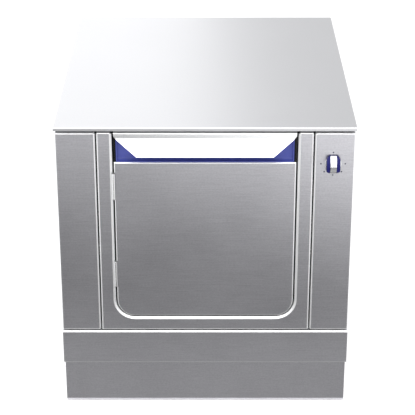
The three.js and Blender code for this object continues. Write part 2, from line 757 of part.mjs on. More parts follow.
// A butt hinge: two outer knuckles on the frame's leaf, one middle knuckle on the door's, and the pin.
function hinge(name, height) {
  const low = height - HINGE_LENGTH / 2;
  const high = height + HINGE_LENGTH / 2;
  const third = HINGE_LENGTH / 3;
  const outer = [
    [low, low + third - FIT / 2],
    [high - third + FIT / 2, high],
  ];
  const middle = [low + third + FIT / 2, high - third - FIT / 2];
  const bore = rod(HINGE_PIN_RADIUS + FIT, [low - third, high + third], HINGE_X, FRONT, 12);
  const knuckle = (limits) => rod(KNUCKLE_RADIUS, limits, HINGE_X, FRONT);
  const room = (limits) => rod(KNUCKLE_RADIUS + FIT, [limits[0] - FIT, limits[1] + FIT], HINGE_X, FRONT);
  const leafFace = DOOR_GAP / 2 - FIT;
  const leaf = (x0, x1) => block([HINGE_X + x0, HINGE_X + x1], [FRONT, FRONT + LEAF_DEPTH], [low, high]);

  const frameLeaf = cut(leaf(-leafFace, LEAF_THICKNESS - leafFace), room(middle));
  const doorLeaf = cut(leaf(leafFace - LEAF_THICKNESS, leafFace), ...outer.map(room));
  const pinProfile = [
    [0, low - HINGE_PIN_HEAD],
    [HINGE_PIN_HEAD_RADIUS, low - HINGE_PIN_HEAD],
    [HINGE_PIN_HEAD_RADIUS, low - FIT],
    [HINGE_PIN_RADIUS, low - FIT],
    [HINGE_PIN_RADIUS, high + FIT],
    [HINGE_PIN_HEAD_RADIUS, high + FIT],
    [HINGE_PIN_HEAD_RADIUS, high + HINGE_PIN_HEAD],
    [0, high + HINGE_PIN_HEAD],
  ];
  return [
    piece(
      `hinge_${name}_frame_leaf`,
      cut(join(frameLeaf, ...outer.map(knuckle)), bore),
      brightStainless,
    ),
    piece(`hinge_${name}_door_leaf`, cut(join(doorLeaf, knuckle(middle)), bore), brightStainless),
    piece(`hinge_${name}_pin`, turned(pinProfile, 12), platedSteel, [HINGE_X, FRONT, 0]),
  ];
}

function catchMagnet() {
  const { width, height } = CATCH_SIZE;
  return piece(
    "catch_magnet",
    block(
      [CATCH_X - width / 2, CATCH_X + width / 2],
      [LINER_BACK + 2 * FIT, FRAME_FRONT - FIT],
      [CATCH_Z - height / 2, CATCH_Z + height / 2],
    ),
    blackPlastic,
  );
}

function interlock() {
  const { width, depth, height } = INTERLOCK_SIZE;
  const face = FRAME_BACK + FIT;
  const body = block(
    [INTERLOCK_X - width / 2, INTERLOCK_X + width / 2],
    [face, face + depth],
    [CATCH_Z - height / 2, CATCH_Z + height / 2],
  );
  const boreLimits = [face - FIT, face + PLUNGER_BORE_DEPTH];
  const bore = crossRod(PLUNGER_RADIUS + FIT, INTERLOCK_X, boreLimits, CATCH_Z, 12);
  const tip = LINER_BACK + 2 * FIT;
  const plunger = crossRod(PLUNGER_RADIUS, 0, [0, PLUNGER_LENGTH], 0, 12);
  return [
    piece("interlock_switch", cut(body, bore), blackPlastic),
    piece("interlock_plunger", plunger, brightStainless, [INTERLOCK_X, tip, CATCH_Z]),
  ];
}

// ---- Bin ----

function bin() {
  const body = tray([-BIN_HALF, BIN_HALF], [BIN_FRONT, BIN_BACK], [BIN_BOTTOM, BIN_TOP], BIN_WALL, "+z");
  const rimHeights = [BIN_TOP - BIN_WALL, BIN_TOP];
  const rim = cut(
    block(
      [-BIN_HALF - BIN_RIM, BIN_HALF + BIN_RIM],
      [BIN_FRONT - BIN_RIM, BIN_BACK + BIN_RIM],
      rimHeights,
    ),
    block(
      [-BIN_HALF + BIN_WALL, BIN_HALF - BIN_WALL],
      [BIN_FRONT + BIN_WALL, BIN_BACK - BIN_WALL],
      [BIN_TOP - 2 * BIN_WALL, BIN_TOP + BIN_WALL],
    ),
  );
  return piece("bin", join(body, rim), stainless);
}

function binHandle() {
  const half = BIN_GRIP_WIDTH / 2;
  const back = BIN_FRONT - FIT;
  const front = back - BIN_GRIP_REACH;
  const top = BIN_TOP - BIN_GRIP_DROP;
  const heights = [top - BIN_GRIP_HEIGHT, top];
  const bar = block([-half, half], [front, front + BIN_GRIP_BAR], heights);
  const leg = (side) => block(sideways(side, half - BIN_GRIP_BAR, half), [front, back], heights);
  const legs = SIDES.map(([, side]) => leg(side));
  return piece("bin_handle", join(bar, ...legs), brightStainless);
}

// ---- Ram ----

function ram() {
  const yLimits = [SCREW_Y - RAM_DEPTH / 2, SCREW_Y + RAM_DEPTH / 2];
  const innerY = [yLimits[0] + RAM_WRAPPER_WALL, yLimits[1] - RAM_WRAPPER_WALL];
  const innerHalf = RAM_HALF - RAM_WRAPPER_WALL;
  const plateTop = WRAPPER_BOTTOM - FIT;
  const plate = block([-RAM_HALF, RAM_HALF], yLimits, [plateTop - RAM_PLATE, plateTop]);
  const heights = [WRAPPER_BOTTOM, WRAPPER_BOTTOM + RAM_WRAPPER_HEIGHT];
  const wrapper = cut(
    block([-RAM_HALF, RAM_HALF], yLimits, heights),
    block([-innerHalf, innerHalf], innerY, [heights[0] - RAM_PLATE, heights[1] + RAM_PLATE]),
  );
  return [
    piece("ram_plate", plate, stainless),
    piece("ram_wrapper", wrapper, stainless),
    ramBeam(),
    ...SIDES.map(([name, side]) => ramNut(name, side)),
  ];
}

function ramBeam() {
  const reach = SCREW_X + RAM_BEAM_END;
  const half = RAM_BEAM_DEPTH / 2;
  const solid = block([-reach, reach], [SCREW_Y - half, SCREW_Y + half], [BEAM_BOTTOM, BEAM_TOP]);
  const hollow = block(
    [-reach - RAM_BEAM_WALL, reach + RAM_BEAM_WALL],
    [SCREW_Y - half + RAM_BEAM_WALL, SCREW_Y + half - RAM_BEAM_WALL],
    [BEAM_BOTTOM + RAM_BEAM_WALL, BEAM_TOP - RAM_BEAM_WALL],
  );
  const bores = SIDES.map(([, side]) =>
    rod(NUT_RADIUS + 2 * FIT, [BEAM_BOTTOM - FIT, BEAM_TOP + FIT], side * SCREW_X, SCREW_Y),
  );
  return piece("ram_beam", cut(solid, hollow, ...bores), paintedSteel);
}

function ramNut(name, side) {
  const flangeTop = BEAM_BOTTOM - FIT;
  const bore = SCREW_RADIUS + FIT;
  const profile = [
    [bore, flangeTop - NUT_FLANGE],
    [NUT_FLANGE_RADIUS, flangeTop - NUT_FLANGE],
    [NUT_FLANGE_RADIUS, flangeTop],
    [NUT_RADIUS, flangeTop],
    [NUT_RADIUS, BEAM_TOP + NUT_ABOVE],
    [bore, BEAM_TOP + NUT_ABOVE],
  ];
  return piece(`ram_nut_${name}`, turned(profile), bronze, [side * SCREW_X, SCREW_Y, 0]);
}

// ---- Screw drive ----

function screw(name, side) {
  const threadBottom = DECK_TOP + BEARING_HEIGHT + SCREW_SHOULDER;
  const threadTop = PANEL_TOP - BEARING_HEIGHT - SCREW_SHOULDER;
  const profile = [
    [0, DECK_TOP - SCREW_BELOW_DECK],
    [JOURNAL_RADIUS, DECK_TOP - SCREW_BELOW_DECK],
    [JOURNAL_RADIUS, threadBottom],
    [SCREW_RADIUS, threadBottom + SCREW_RADIUS - JOURNAL_RADIUS],
    [SCREW_RADIUS, threadTop - SCREW_RADIUS + TOP_JOURNAL_RADIUS],
    [TOP_JOURNAL_RADIUS, threadTop],
    [TOP_JOURNAL_RADIUS, PANEL_TOP - SHAFT_END_GAP],
    [0, PANEL_TOP - SHAFT_END_GAP],
  ];
  return piece(`screw_${name}`, turned(profile), platedSteel, [side * SCREW_X, SCREW_Y, 0]);
}

// A flanged wheel for the flat of the belt, from its own bottom at 0.
function pulleyProfile(radius, bore) {
  const flange = radius + PULLEY_FLANGE;
  return [
    [bore, 0],
    [flange, 0],
    [flange, PULLEY_RIM],
    [radius, PULLEY_RIM],
    [radius, PULLEY_HEIGHT - PULLEY_RIM],
    [flange, PULLEY_HEIGHT - PULLEY_RIM],
    [flange, PULLEY_HEIGHT],
    [bore, PULLEY_HEIGHT],
  ];
}

function screwPulley(name, side) {
  const wheel = turned(pulleyProfile(PULLEY_RADIUS, JOURNAL_RADIUS + FIT), 24);
  return piece(`screw_pulley_${name}`, wheel, platedSteel, [side * SCREW_X, SCREW_Y, PULLEY_BOTTOM]);
}

function bearings(name, side) {
  const housing = (bore) => [
    [bore, 0],
    [BEARING_FLANGE_RADIUS, 0],
    [BEARING_FLANGE_RADIUS, BEARING_FLANGE],
    [BEARING_RADIUS, BEARING_FLANGE],
    [BEARING_RADIUS, BEARING_HEIGHT - 2 * FIT],
    [bore, BEARING_HEIGHT - 2 * FIT],
  ];
  const x = side * SCREW_X;
  const lower = turned(housing(JOURNAL_RADIUS + FIT));
  const upper = piece(
    `bearing_upper_${name}`,
    turned(housing(TOP_JOURNAL_RADIUS + FIT)),
    paintedSteel,
    [x, SCREW_Y, PANEL_TOP],
  );
  upper.rotation.x = Math.PI;
  return [piece(`bearing_lower_${name}`, lower, paintedSteel, [x, SCREW_Y, DECK_TOP + FIT]), upper];
}

function motor() {
  const bottom = DECK_TOP + FIT;
  const bore = MOTOR_SHAFT_RADIUS + FIT;
  const body = turned(
    [
      [0, MOTOR_SHAFT_DEPTH],
      [bore, MOTOR_SHAFT_DEPTH],
      [bore, 0],
      [MOTOR_RADIUS, 0],
      [MOTOR_RADIUS, MOTOR_HEIGHT],
      [MOTOR_RADIUS - MOTOR_CAP_INSET, MOTOR_HEIGHT + MOTOR_CAP],
      [0, MOTOR_HEIGHT + MOTOR_CAP],
    ],
    24,
  );
  const wheel = pulleyProfile(MOTOR_PULLEY_RADIUS, MOTOR_SHAFT_RADIUS).slice(1, -1);
  const shaftTop = bottom + MOTOR_SHAFT_DEPTH - SHAFT_END_GAP - PULLEY_BOTTOM;
  const rotor = turned(
    [[0, 0], ...wheel, [MOTOR_SHAFT_RADIUS, PULLEY_HEIGHT], [MOTOR_SHAFT_RADIUS, shaftTop], [0, shaftTop]],
    20,
  );
  return [
    piece("motor", body, paintedSteel, [0, MOTOR_Y, bottom]),
    piece("motor_pulley", rotor, platedSteel, [0, MOTOR_Y, PULLEY_BOTTOM]),
  ];
}

// The outline of a belt that runs round the wheels, anticlockwise, at a distance off each wheel.
function beltOutline(wheels, offset) {
  const directions = wheels.map((wheel, i) => {
    const next = wheels[(i + 1) % wheels.length];
    const [dx, dy] = [next.x - wheel.x, next.y - wheel.y];
    const length = Math.hypot(dx, dy);
    return Math.atan2(dy, dx) - Math.PI / 2 + Math.asin((wheel.radius - next.radius) / length);
  });
  const shape = new THREE.Shape();
  wheels.forEach((wheel, i) => {
    const from = directions[(i + wheels.length - 1) % wheels.length];
    shape.absarc(wheel.x, wheel.y, wheel.radius + offset, from, directions[i], false);
  });
  shape.closePath();
  return shape;
}

function driveBelt() {
  const wheels = [
    { x: -SCREW_X, y: SCREW_Y, radius: PULLEY_RADIUS },
    { x: SCREW_X, y: SCREW_Y, radius: PULLEY_RADIUS },
    { x: 0, y: MOTOR_Y, radius: MOTOR_PULLEY_RADIUS },
  ];
  const solid = extrude(beltOutline(wheels, FIT + BELT_THICKNESS), BELT_WIDTH, BELT_STEPS);
  const hollow = extrude(beltOutline(wheels, FIT), BELT_WIDTH + 2 * BELT_THICKNESS, BELT_STEPS);
  hollow.translate(0, 0, -BELT_THICKNESS);
  return piece("drive_belt", cut(solid, hollow), blackRubber, [0, 0, BELT_BOTTOM]);
}

// ---- Controls ----

// The knob's outline seen from the front: a bar with its four corners cut off.
function knobOutline() {
  const half = KNOB_WIDTH / 2;
  const end = KNOB_LENGTH / 2;
  const { across, along } = KNOB_CORNER;
  return polygon([
    [half, along - end],
    [half, end - along],
    [half - across, end],
    [across - half, end],
    [-half, end - along],
    [-half, along - end],
    [across - half, -end],
    [half - across, -end],
  ]);
}

// The knob's outline from one height up to an arch, which is highest in the middle of its length.
function archedKnob(bottom, extra) {
  const end = KNOB_LENGTH / 2;
  const rise = KNOB_REACH - KNOB_EDGE;
  const radius = (end * end + rise * rise) / (2 * rise);
  const arch = rod(radius + extra, [-KNOB_WIDTH, KNOB_WIDTH], 0, 0, 48);
  arch.rotateY(Math.PI / 2).translate(0, 0, KNOB_REACH - radius);
  const prism = extrude(knobOutline(), KNOB_REACH + 2 * extra - bottom).translate(0, 0, bottom);
  return common(prism, arch);
}

function knob() {
  const bottom = BEZEL_THICKNESS + 2 * FIT;
  const half = KNOB_BAR_WIDTH / 2;
  const slot = block([-half, half], [-KNOB_LENGTH, KNOB_LENGTH], [KNOB_BAR_BED, 2 * KNOB_REACH]);
  const stem = rod(KNOB_STEM_RADIUS, [-KNOB_STEM_LENGTH, KNOB_BAR_BED - SHEET]);
  const bar = common(
    archedKnob(KNOB_BAR_BED + FIT, KNOB_BAR_PROUD),
    block([-half + FIT, half - FIT], [-KNOB_LENGTH, KNOB_LENGTH], [0, 2 * KNOB_REACH]),
  );
  const bezel = turned(
    [
      [SHAFT_HOLE_RADIUS, FIT],
      [BEZEL_RADIUS, FIT],
      [BEZEL_RADIUS, BEZEL_THICKNESS],
      [SHAFT_HOLE_RADIUS, BEZEL_THICKNESS],
    ],
    24,
  );
  const group = assembly(
    piece("selector_knob", join(cut(archedKnob(bottom, 0), slot), stem), bluePlastic),
    piece("knob_insert", bar, brightStainless),
    piece("knob_bezel", bezel, brightStainless),
  );
  group.rotation.x = Math.PI / 2;
  group.position.set(KNOB_X, FRONT, KNOB_Z);
  return group;
}

function selectorSwitch() {
  const face = FRONT + SHEET + FIT;
  const half = SWITCH_SIZE / 2;
  const body = block(
    [KNOB_X - half, KNOB_X + half],
    [face, face + SWITCH_DEPTH],
    [KNOB_Z - half, KNOB_Z + half],
  );
  const bore = crossRod(KNOB_STEM_RADIUS + FIT, KNOB_X, [face - FIT, face + KNOB_STEM_LENGTH], KNOB_Z, 12);
  return piece("selector_switch", cut(body, bore), blackPlastic);
}

function controlBox() {
  const { width, depth, height, back, top, side } = CONTROL_BOX;
  const right = HALF_WIDTH - side;
  const high = PANEL_TOP - top;
  return piece(
    "control_box",
    tray([right - width, right], [BACK - back - depth, BACK - back], [high - height, high], SHEET, "-x"),
    paintedSteel,
  );
}

// ---- The whole machine ----

const cabinet = assembly(
  worktop(),
  crosshead(),
  SIDES.map(([name, side]) => sidePanel(name, side)),
  backPanel(),
  cableGland(),
  frontPanelLeft(),
  controlPanel(),
  doorSurround(),
  lowerFrontPanel(),
  plinth(),
  baseFrame(),
  FOOT_PLACES.map(([name, side, y]) => foot(name, side, y)),
);
const chamber = assembly(
  chamberFloor(),
  SIDES.map(([name, side]) => chamberWall(name, side)),
  chamberBack(),
  chamberFrontFrame(),
  catchMagnet(),
  interlock(),
);
const door = assembly(
  doorSkin(),
  doorLiner(),
  doorGasket(),
  handleGrip(),
  handleRecess(),
  Object.entries(HINGE_HEIGHTS).map(([name, height]) => hinge(name, height)),
);
const drive = assembly(
  SIDES.map(([name, side]) => [screw(name, side), screwPulley(name, side), bearings(name, side)]),
  motor(),
  driveBelt(),
);
const controls = assembly(knob(), selectorSwitch(), controlBox());

const trashCompactor = assembly(cabinet, chamber, door, drive, controls, ram(), bin(), binHandle());

export default trashCompactor;
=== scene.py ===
import math

import bmesh
import bpy
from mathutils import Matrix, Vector


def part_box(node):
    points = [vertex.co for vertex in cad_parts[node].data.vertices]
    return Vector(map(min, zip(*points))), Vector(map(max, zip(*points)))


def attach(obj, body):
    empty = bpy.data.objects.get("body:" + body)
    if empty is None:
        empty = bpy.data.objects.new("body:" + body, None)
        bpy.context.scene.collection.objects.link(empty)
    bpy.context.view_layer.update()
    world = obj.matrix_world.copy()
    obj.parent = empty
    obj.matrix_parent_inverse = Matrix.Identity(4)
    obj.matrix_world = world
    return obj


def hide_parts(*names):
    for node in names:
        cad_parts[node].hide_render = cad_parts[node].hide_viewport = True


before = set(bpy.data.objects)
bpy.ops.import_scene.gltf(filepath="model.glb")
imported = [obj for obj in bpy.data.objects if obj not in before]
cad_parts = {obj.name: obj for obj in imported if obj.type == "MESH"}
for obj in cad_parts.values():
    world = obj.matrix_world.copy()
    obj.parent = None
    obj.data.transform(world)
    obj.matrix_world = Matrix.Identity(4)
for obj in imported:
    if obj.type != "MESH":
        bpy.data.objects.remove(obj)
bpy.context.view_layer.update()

# ---- Floor, light and camera ----
# The machine stands on a plain white floor in a white tent of light. Cards lie on the floor in front of
# it, which only the polished metal sees: three grey ones give the flat fronts their greys, and two white
# ones light the edges that are folded to the sides.

FLOOR_WHITE = 0.92
TENT_WHITE = 1.0

bpy.ops.object.select_all(action="DESELECT")
bpy.ops.mesh.primitive_plane_add(size=60)
floor = bpy.context.object
floor.name = "floor"
paper = bpy.data.materials.new("floor_paper")
paper.use_nodes = True
paper.node_tree.nodes["Principled BSDF"].inputs["Base Color"].default_value = (FLOOR_WHITE,) * 3 + (1,)
paper.node_tree.nodes["Principled BSDF"].inputs["Roughness"].default_value = 0.9
paper.node_tree.nodes["Principled BSDF"].inputs["Emission Color"].default_value = (1, 1, 1, 1)
paper.node_tree.nodes["Principled BSDF"].inputs["Emission Strength"].default_value = 0.15
floor.data.materials.append(paper)


def floor_card(name, corners, height, brightness):
    """A card on the floor that only reflections show. Its brightness is what a mirror shows of it."""
    bpy.ops.mesh.primitive_plane_add(size=1)
    card = bpy.context.object
    card.name = name
    for vert, (x, y) in zip(card.data.vertices, corners):
        vert.co = (x, y, height)
    card.visible_camera = False
    card.visible_diffuse = False
    card.visible_shadow = False
    finish = bpy.data.materials.new(name)
    finish.use_nodes = True
    shader = finish.node_tree.nodes["Principled BSDF"]
    shader.inputs["Base Color"].default_value = (0, 0, 0, 1)
    shader.inputs["Specular IOR Level"].default_value = 0
    shader.inputs["Emission Color"].default_value = (1, 1, 1, 1)
    shader.inputs["Emission Strength"].default_value = brightness
    card.data.materials.append(finish)


floor_card("grey_card", [(-1.9, -4.7), (0.98, -1.5), (-0.85, -0.48), (0.85, -0.48)], 0.005, 0.325)
floor_card("dark_card", [(-1.0, -1.75), (0.9, -1.45), (-0.95, -0.95), (0.95, -0.95)], 0.009, 0.19)
floor_card("near_card", [(-0.95, -0.86), (0.95, -0.86), (-0.75, -0.447), (0.75, -0.447)], 0.007, 0.43)
floor_card("white_card_left", [(-3.8, -3.3), (-1.6, -3.3), (-3.8, -0.3), (-0.8, -0.3)], 0.003, 1.3)
floor_card("white_card_right", [(1.2, -3.3), (3.8, -3.3), (0.8, -0.3), (3.8, -0.3)], 0.003, 1.3)

tent = bpy.data.worlds.new("tent")
bpy.context.scene.world = tent
tent.use_nodes = True
tent.node_tree.nodes["Background"].inputs["Color"].default_value = (TENT_WHITE,) * 3 + (1,)


def soft_box(name, place, aim, width, height, brightness):
    """A softbox that faces its aim. Its brightness is what a mirror shows of it, with white as 1."""
    bpy.ops.object.light_add(type="AREA", location=place)
    box = bpy.context.object
    box.name = name
    box.rotation_euler = (Vector(aim) - Vector(place)).to_track_quat("-Z", "Y").to_euler()
    box.data.shape = "RECTANGLE"
    box.data.size, box.data.size_y = width, height
    box.data.energy = brightness * math.pi * width * height
    box.visible_camera = False


soft_box("overhead_box", (0, -1.6, 3.4), (0, -1.2, 0), 4.0, 3.6, 2.2)
soft_box("front_box", (0, -5.2, 3.1), (0, -0.4, 0.8), 4.4, 2.8, 1.9)
soft_box("back_box", (-1.95, 4.0, 2.4), (-0.3, 0, 0.85), 4.4, 3.6, 0.80)

bpy.ops.object.camera_add(location=(0.0065, -4.184, 2.329), rotation=(math.radians(65.29), 0, 0))
camera = bpy.context.object
camera.name = "camera"
camera.data.sensor_width = 36
camera.data.lens = 131.7
bpy.context.scene.camera = camera
bpy.context.scene.view_settings.view_transform = "Standard"

# ---- Worktop ----
# One sheet of satin stainless steel, folded down on all four sides and welded and ground at its corners.
# It lies on the crosshead, and its lip hangs just in front of the panels.

SHEET = 0.0015
WORKTOP_FOLD = 0.0022
FLAT_ENOUGH = 0.985
# A painted highlight: the near-white base colour that aslant faces, such as folds, are given in the stainless
# finishes.
FOLD_PAINTED_HIGHLIGHT = (0.93, 0.935, 0.94, 1)
FOLD_ROUGHER = 0.14


def deselect():
    bpy.ops.object.select_all(action="DESELECT")


def block(name, low, high):
    """A block between two corners, left selected and active."""
    deselect()
    low, high = Vector(low), Vector(high)
    bpy.ops.mesh.primitive_cube_add(size=1, location=(low + high) / 2, scale=high - low)
    made = bpy.context.object
    made.name = name
    bpy.ops.object.transform_apply(location=True, rotation=True, scale=True)
    return made


def edit(made):
    """Opens a piece for shaping, with all of it selected."""
    deselect()
    made.select_set(True)
    bpy.context.view_layer.objects.active = made
    bpy.ops.object.mode_set(mode="EDIT")
    bpy.ops.mesh.select_mode(type="VERT")
    bpy.ops.mesh.select_all(action="SELECT")


def done():
    bpy.ops.object.mode_set(mode="OBJECT")


def pick(kind, test):
    """Selects the faces, edges or vertices of the open piece that pass a test, and no others."""
    bpy.ops.mesh.select_mode(type=kind)
    bpy.ops.mesh.select_all(action="DESELECT")
    shape = bmesh.from_edit_mesh(bpy.context.object.data)
    shape.normal_update()
    parts = {"FACE": shape.faces, "EDGE": shape.edges, "VERT": shape.verts}[kind]
    for part in parts:
        if test(part):
            part.select_set(True)
    shape.select_flush_mode()
    bmesh.update_edit_mesh(bpy.context.object.data)


def middle(edge):
    return (edge.verts[0].co + edge.verts[1].co) / 2


def near(a, b, slack=0.0002):
    return abs(a - b) < slack


def modify(made, kind, **settings):
    """Adds a modifier to a piece and applies it."""
    deselect()
    made.select_set(True)
    bpy.context.view_layer.objects.active = made
    modifier = made.modifiers.new(kind.lower(), kind)
    for name, value in settings.items():
        setattr(modifier, name, value)
    bpy.ops.object.modifier_apply(modifier=modifier.name)


def wall(made, thickness):
    """Gives an open sheet its thickness, inwards from its outer face."""
    modify(made, "SOLIDIFY", thickness=thickness, offset=-1, use_even_offset=True)


def folded(name, low, high, open_side, fold, thickness=SHEET, profile=0.5):
    """A sheet folded back on four sides round its face. The side it is open to is a direction."""
    made = block(name, low, high)
    edit(made)
    pick("FACE", lambda face: face.normal.dot(Vector(open_side)) > 0.9)
    bpy.ops.mesh.delete(type="FACE")
    pick("EDGE", lambda edge: not edge.is_boundary)
    bpy.ops.mesh.bevel(offset=fold, segments=4, profile=profile)
    done()
    wall(made, thickness)
    return made


class Tone:
    """A socket in a finish. Sums on it add Math nodes, and add() adds any other node."""

    def __init__(self, tree, socket=None):
        self.tree = tree
        self.socket = socket

    def add(self, kind, settings=None, values=None, output=0):
        node = self.tree.nodes.new(kind)
        for name, value in (settings or {}).items():
            setattr(node, name, value)
        for name, value in (values or {}).items():
            if isinstance(value, Tone):
                self.tree.links.new(value.socket, node.inputs[name])
            else:
                node.inputs[name].default_value = value
        return Tone(self.tree, node.outputs[output])

    def math(self, operation, first, second):
        return self.add("ShaderNodeMath", {"operation": operation}, {0: first, 1: second})

    def __add__(self, other):
        return self.math("ADD", self, other)

    def __sub__(self, other):
        return self.math("SUBTRACT", self, other)

    def __rsub__(self, other):
        return self.math("SUBTRACT", other, self)

    def __mul__(self, other):
        return self.math("MULTIPLY", self, other)

    __radd__ = __add__
    __rmul__ = __mul__

    def noise(self, place, scale, stretch=(1, 1, 1), detail=2.0):
        """Noise with a given number of cells to the metre, drawn out along the axes with a low stretch."""
        mapped = self.add("ShaderNodeMapping", None, {"Vector": place, "Scale": stretch})
        return self.add("ShaderNodeTexNoise", None, {"Vector": mapped, "Scale": scale, "Detail": detail})

    def blend(self, share, first, second):
        """A colour between two, by a share from 0 to 1."""
        return self.add("ShaderNodeMix", {"data_type": "RGBA"}, {0: share, 6: first, 7: second}, output=2)


def finish_named(name):
    """A new finish: its shader, and a Tone that starts its nodes."""
    made = bpy.data.materials.new(name)
    made.use_nodes = True
    return made, made.node_tree.nodes["Principled BSDF"], Tone(made.node_tree)


def brushed_stainless(name, grain, light, dark, roughness, contrast=3.1):
    """Satin stainless sheet, brushed along one axis: 0 across, 1 from front to back, 2 upright. Aslant faces
    get a painted highlight.
    """
    made, shader, tone = finish_named(name)
    place = tone.add("ShaderNodeTexCoord", output="Object")
    along = [1.0, 1.0, 1.0]
    along[grain] = 0.03
    lines = tone.noise(place, 700, along)
    speckle = tone.noise(place, 260, [0.8 if axis == grain else 1.0 for axis in range(3)], 1.0)
    clouds = tone.noise(place, 4.5, detail=3.0)
    share = (lines * 0.45 + speckle * 0.4 + clouds * 0.15 - 0.5) * contrast + 0.5
    # Painted highlight: where a face lies aslant, as on a fold, the base colour is blended to near-white, and
    # the surface is made rougher.
    fold = tone.add("ShaderNodeAttribute", {"attribute_name": "fold"}, output=2)
    colour = tone.blend(fold, tone.blend(share, dark, light), FOLD_PAINTED_HIGHLIGHT)
    tone.tree.links.new(colour.socket, shader.inputs["Base Color"])
    rough = lines * 0.10 + clouds * 0.06 + fold * FOLD_ROUGHER + (roughness - 0.08)
    tone.tree.links.new(rough.socket, shader.inputs["Roughness"])
    bump = tone.add("ShaderNodeBump", None, {"Strength": 0.25, "Distance": 0.00003, "Height": lines})
    tone.tree.links.new(bump.socket, shader.inputs["Normal"])
    shader.inputs["Metallic"].default_value = 1.0
    return made


def mark_painted_fold_highlights(made):
    """Marks the faces that lie aslant, as where a sheet is folded, so that the stainless finish paints a
    highlight there: a lighter base colour, and a rougher surface.
    """
    marks = made.data.attributes.new("fold", "FLOAT", "FACE")
    for face, mark in zip(made.data.polygons, marks.data):
        mark.value = 0.0 if max(abs(part) for part in face.normal) > FLAT_ENOUGH else 1.0


def hand_over(made, body, finish, stands_for, crease=32):
    """Finishes a piece: its smooth shading and material, the body it rides on and the node it stands for."""
    mark_painted_fold_highlights(made)
    deselect()
    made.select_set(True)
    bpy.context.view_layer.objects.active = made
    bpy.ops.object.shade_smooth_by_angle(angle=math.radians(crease))
    modify(made, "WEIGHTED_NORMAL", keep_sharp=True, weight=100)
    made.data.materials.clear()
    made.data.materials.append(finish)
    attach(made, body)
    if stands_for:
        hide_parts(*stands_for)


def keep(node, finish):
    """Keeps a CAD node as it is, in a better finish."""
    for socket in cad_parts[node].material_slots:
        socket.material = finish


stainless_worktop = brushed_stainless(
    "stainless_worktop", 0, (0.60, 0.603, 0.62, 1), (0.48, 0.483, 0.50, 1), 0.34, 1.0
)

worktop = folded("worktop_sheet", *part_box("worktop"), (0, 0, -1), WORKTOP_FOLD)
hand_over(worktop, "cabinet", stainless_worktop, ["worktop"])

# ---- Crosshead ----
# A plated pan of folded plate that carries the worktop and the screws' upper bearings. Only the dark
# line of its edge shows, in the gap under the worktop.


def plated_steel(name, light, dark, roughness):
    """Zinc-plated steel: a fine spangle, and a faint yellow bloom in places."""
    made, shader, tone = finish_named(name)
    place = tone.add("ShaderNodeTexCoord", output="Object")
    spangle = tone.add("ShaderNodeTexVoronoi", None, {"Vector": place, "Scale": 260.0}, output="Color")
    grey = tone.add("ShaderNodeSeparateColor", None, {0: spangle})
    clouds = tone.noise(place, 14, detail=4.0)
    colour = tone.blend(grey * 0.5 + clouds * 0.5, dark, light)
    tone.tree.links.new(colour.socket, shader.inputs["Base Color"])
    rough = grey * 0.08 + clouds * 0.14 + (roughness - 0.1)
    tone.tree.links.new(rough.socket, shader.inputs["Roughness"])
    shader.inputs["Metallic"].default_value = 1.0
    return made


zinc = plated_steel("zinc_plated_steel", (0.46, 0.46, 0.45, 1), (0.34, 0.35, 0.36, 1), 0.42)
keep("crosshead", zinc)

# ---- Side panels ----
# Satin stainless sheets, brushed from front to back, with short returns on all four sides that hook
# over the base and the crosshead.

PANEL_FOLD = 0.0028

stainless_deep = brushed_stainless(
    "stainless_brushed_deep", 1, (0.60, 0.605, 0.62, 1), (0.48, 0.485, 0.50, 1), 0.34
)
for name, inwards in (("left", 1), ("right", -1)):
    node = f"side_panel_{name}"
    panel = folded(f"{node}_sheet", *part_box(node), (inwards, 0, 0), PANEL_FOLD)
    hand_over(panel, "cabinet", stainless_deep, [node])

# ---- Front panels ----
# Narrow folded trays of satin stainless steel on both sides of the door's surround. The right one
# carries the selector. No hole is cut for its shaft; the knob covers its place.

FRONT_FOLD = 0.0042
FRONT_FOLD_SHAPE = 0.36

stainless_across = brushed_stainless(
    "stainless_brushed_across", 0, (0.60, 0.597, 0.627, 1), (0.48, 0.477, 0.507, 1), 0.34
)

for node in ("front_panel_left", "control_panel"):
    panel = folded(f"{node}_sheet", *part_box(node), (0, 1, 0), FRONT_FOLD, profile=FRONT_FOLD_SHAPE)
    hand_over(panel, "cabinet", stainless_across, [node])

# ---- Lower front panel ----
# A wide folded tray under the door. Its top edge is rolled over a larger radius than the others.

LOWER_TOP_FOLD = 0.0065
LOWER_BOTTOM_FOLD = 0.0045

low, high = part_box("lower_front_panel")
lower_panel = block("lower_front_panel_sheet", low, high)
edit(lower_panel)
pick("FACE", lambda face: face.normal.y > 0.9)
bpy.ops.mesh.delete(type="FACE")
pick("EDGE", lambda edge: near(middle(edge).y, low.y) and near(middle(edge).z, high.z))
bpy.ops.mesh.bevel(offset=LOWER_TOP_FOLD, segments=6, profile=0.5)
pick("EDGE", lambda edge: near(middle(edge).y, low.y) and near(middle(edge).z, low.z))
bpy.ops.mesh.bevel(offset=LOWER_BOTTOM_FOLD, segments=5, profile=0.5)
pick("EDGE", lambda edge: near(abs(middle(edge).x), high.x) and not edge.is_boundary)
bpy.ops.mesh.bevel(offset=PANEL_FOLD * 0.5, segments=3, profile=0.5)
done()
wall(lower_panel, SHEET)
hand_over(lower_panel, "cabinet", stainless_across, ["lower_front_panel"])

# ---- Door surround ----
# One stainless sheet with the doorway cut out of it, open at the top. The edge of the opening is rolled
# back over a wide radius into a deep jamb, and notched for the hinges.

DOOR_GAP = 0.004
DOOR_RADIUS = 0.050
LIP_FOLD = 0.0066
LIP_SHAPE = 0.3
LIP_FLATTER = 0.65
KNUCKLE_RADIUS = 0.0045
CORNER_STEPS = 12

low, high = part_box("door_surround")
skin_low, skin_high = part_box("door_skin")
opening_half = skin_high.x + DOOR_GAP
opening_bottom = skin_low.z - DOOR_GAP


def bisect(place, normal):
    """Cuts the whole open piece along a plane."""
    bpy.ops.mesh.select_all(action="SELECT")
    bpy.ops.mesh.bisect(plane_co=place, plane_no=normal)


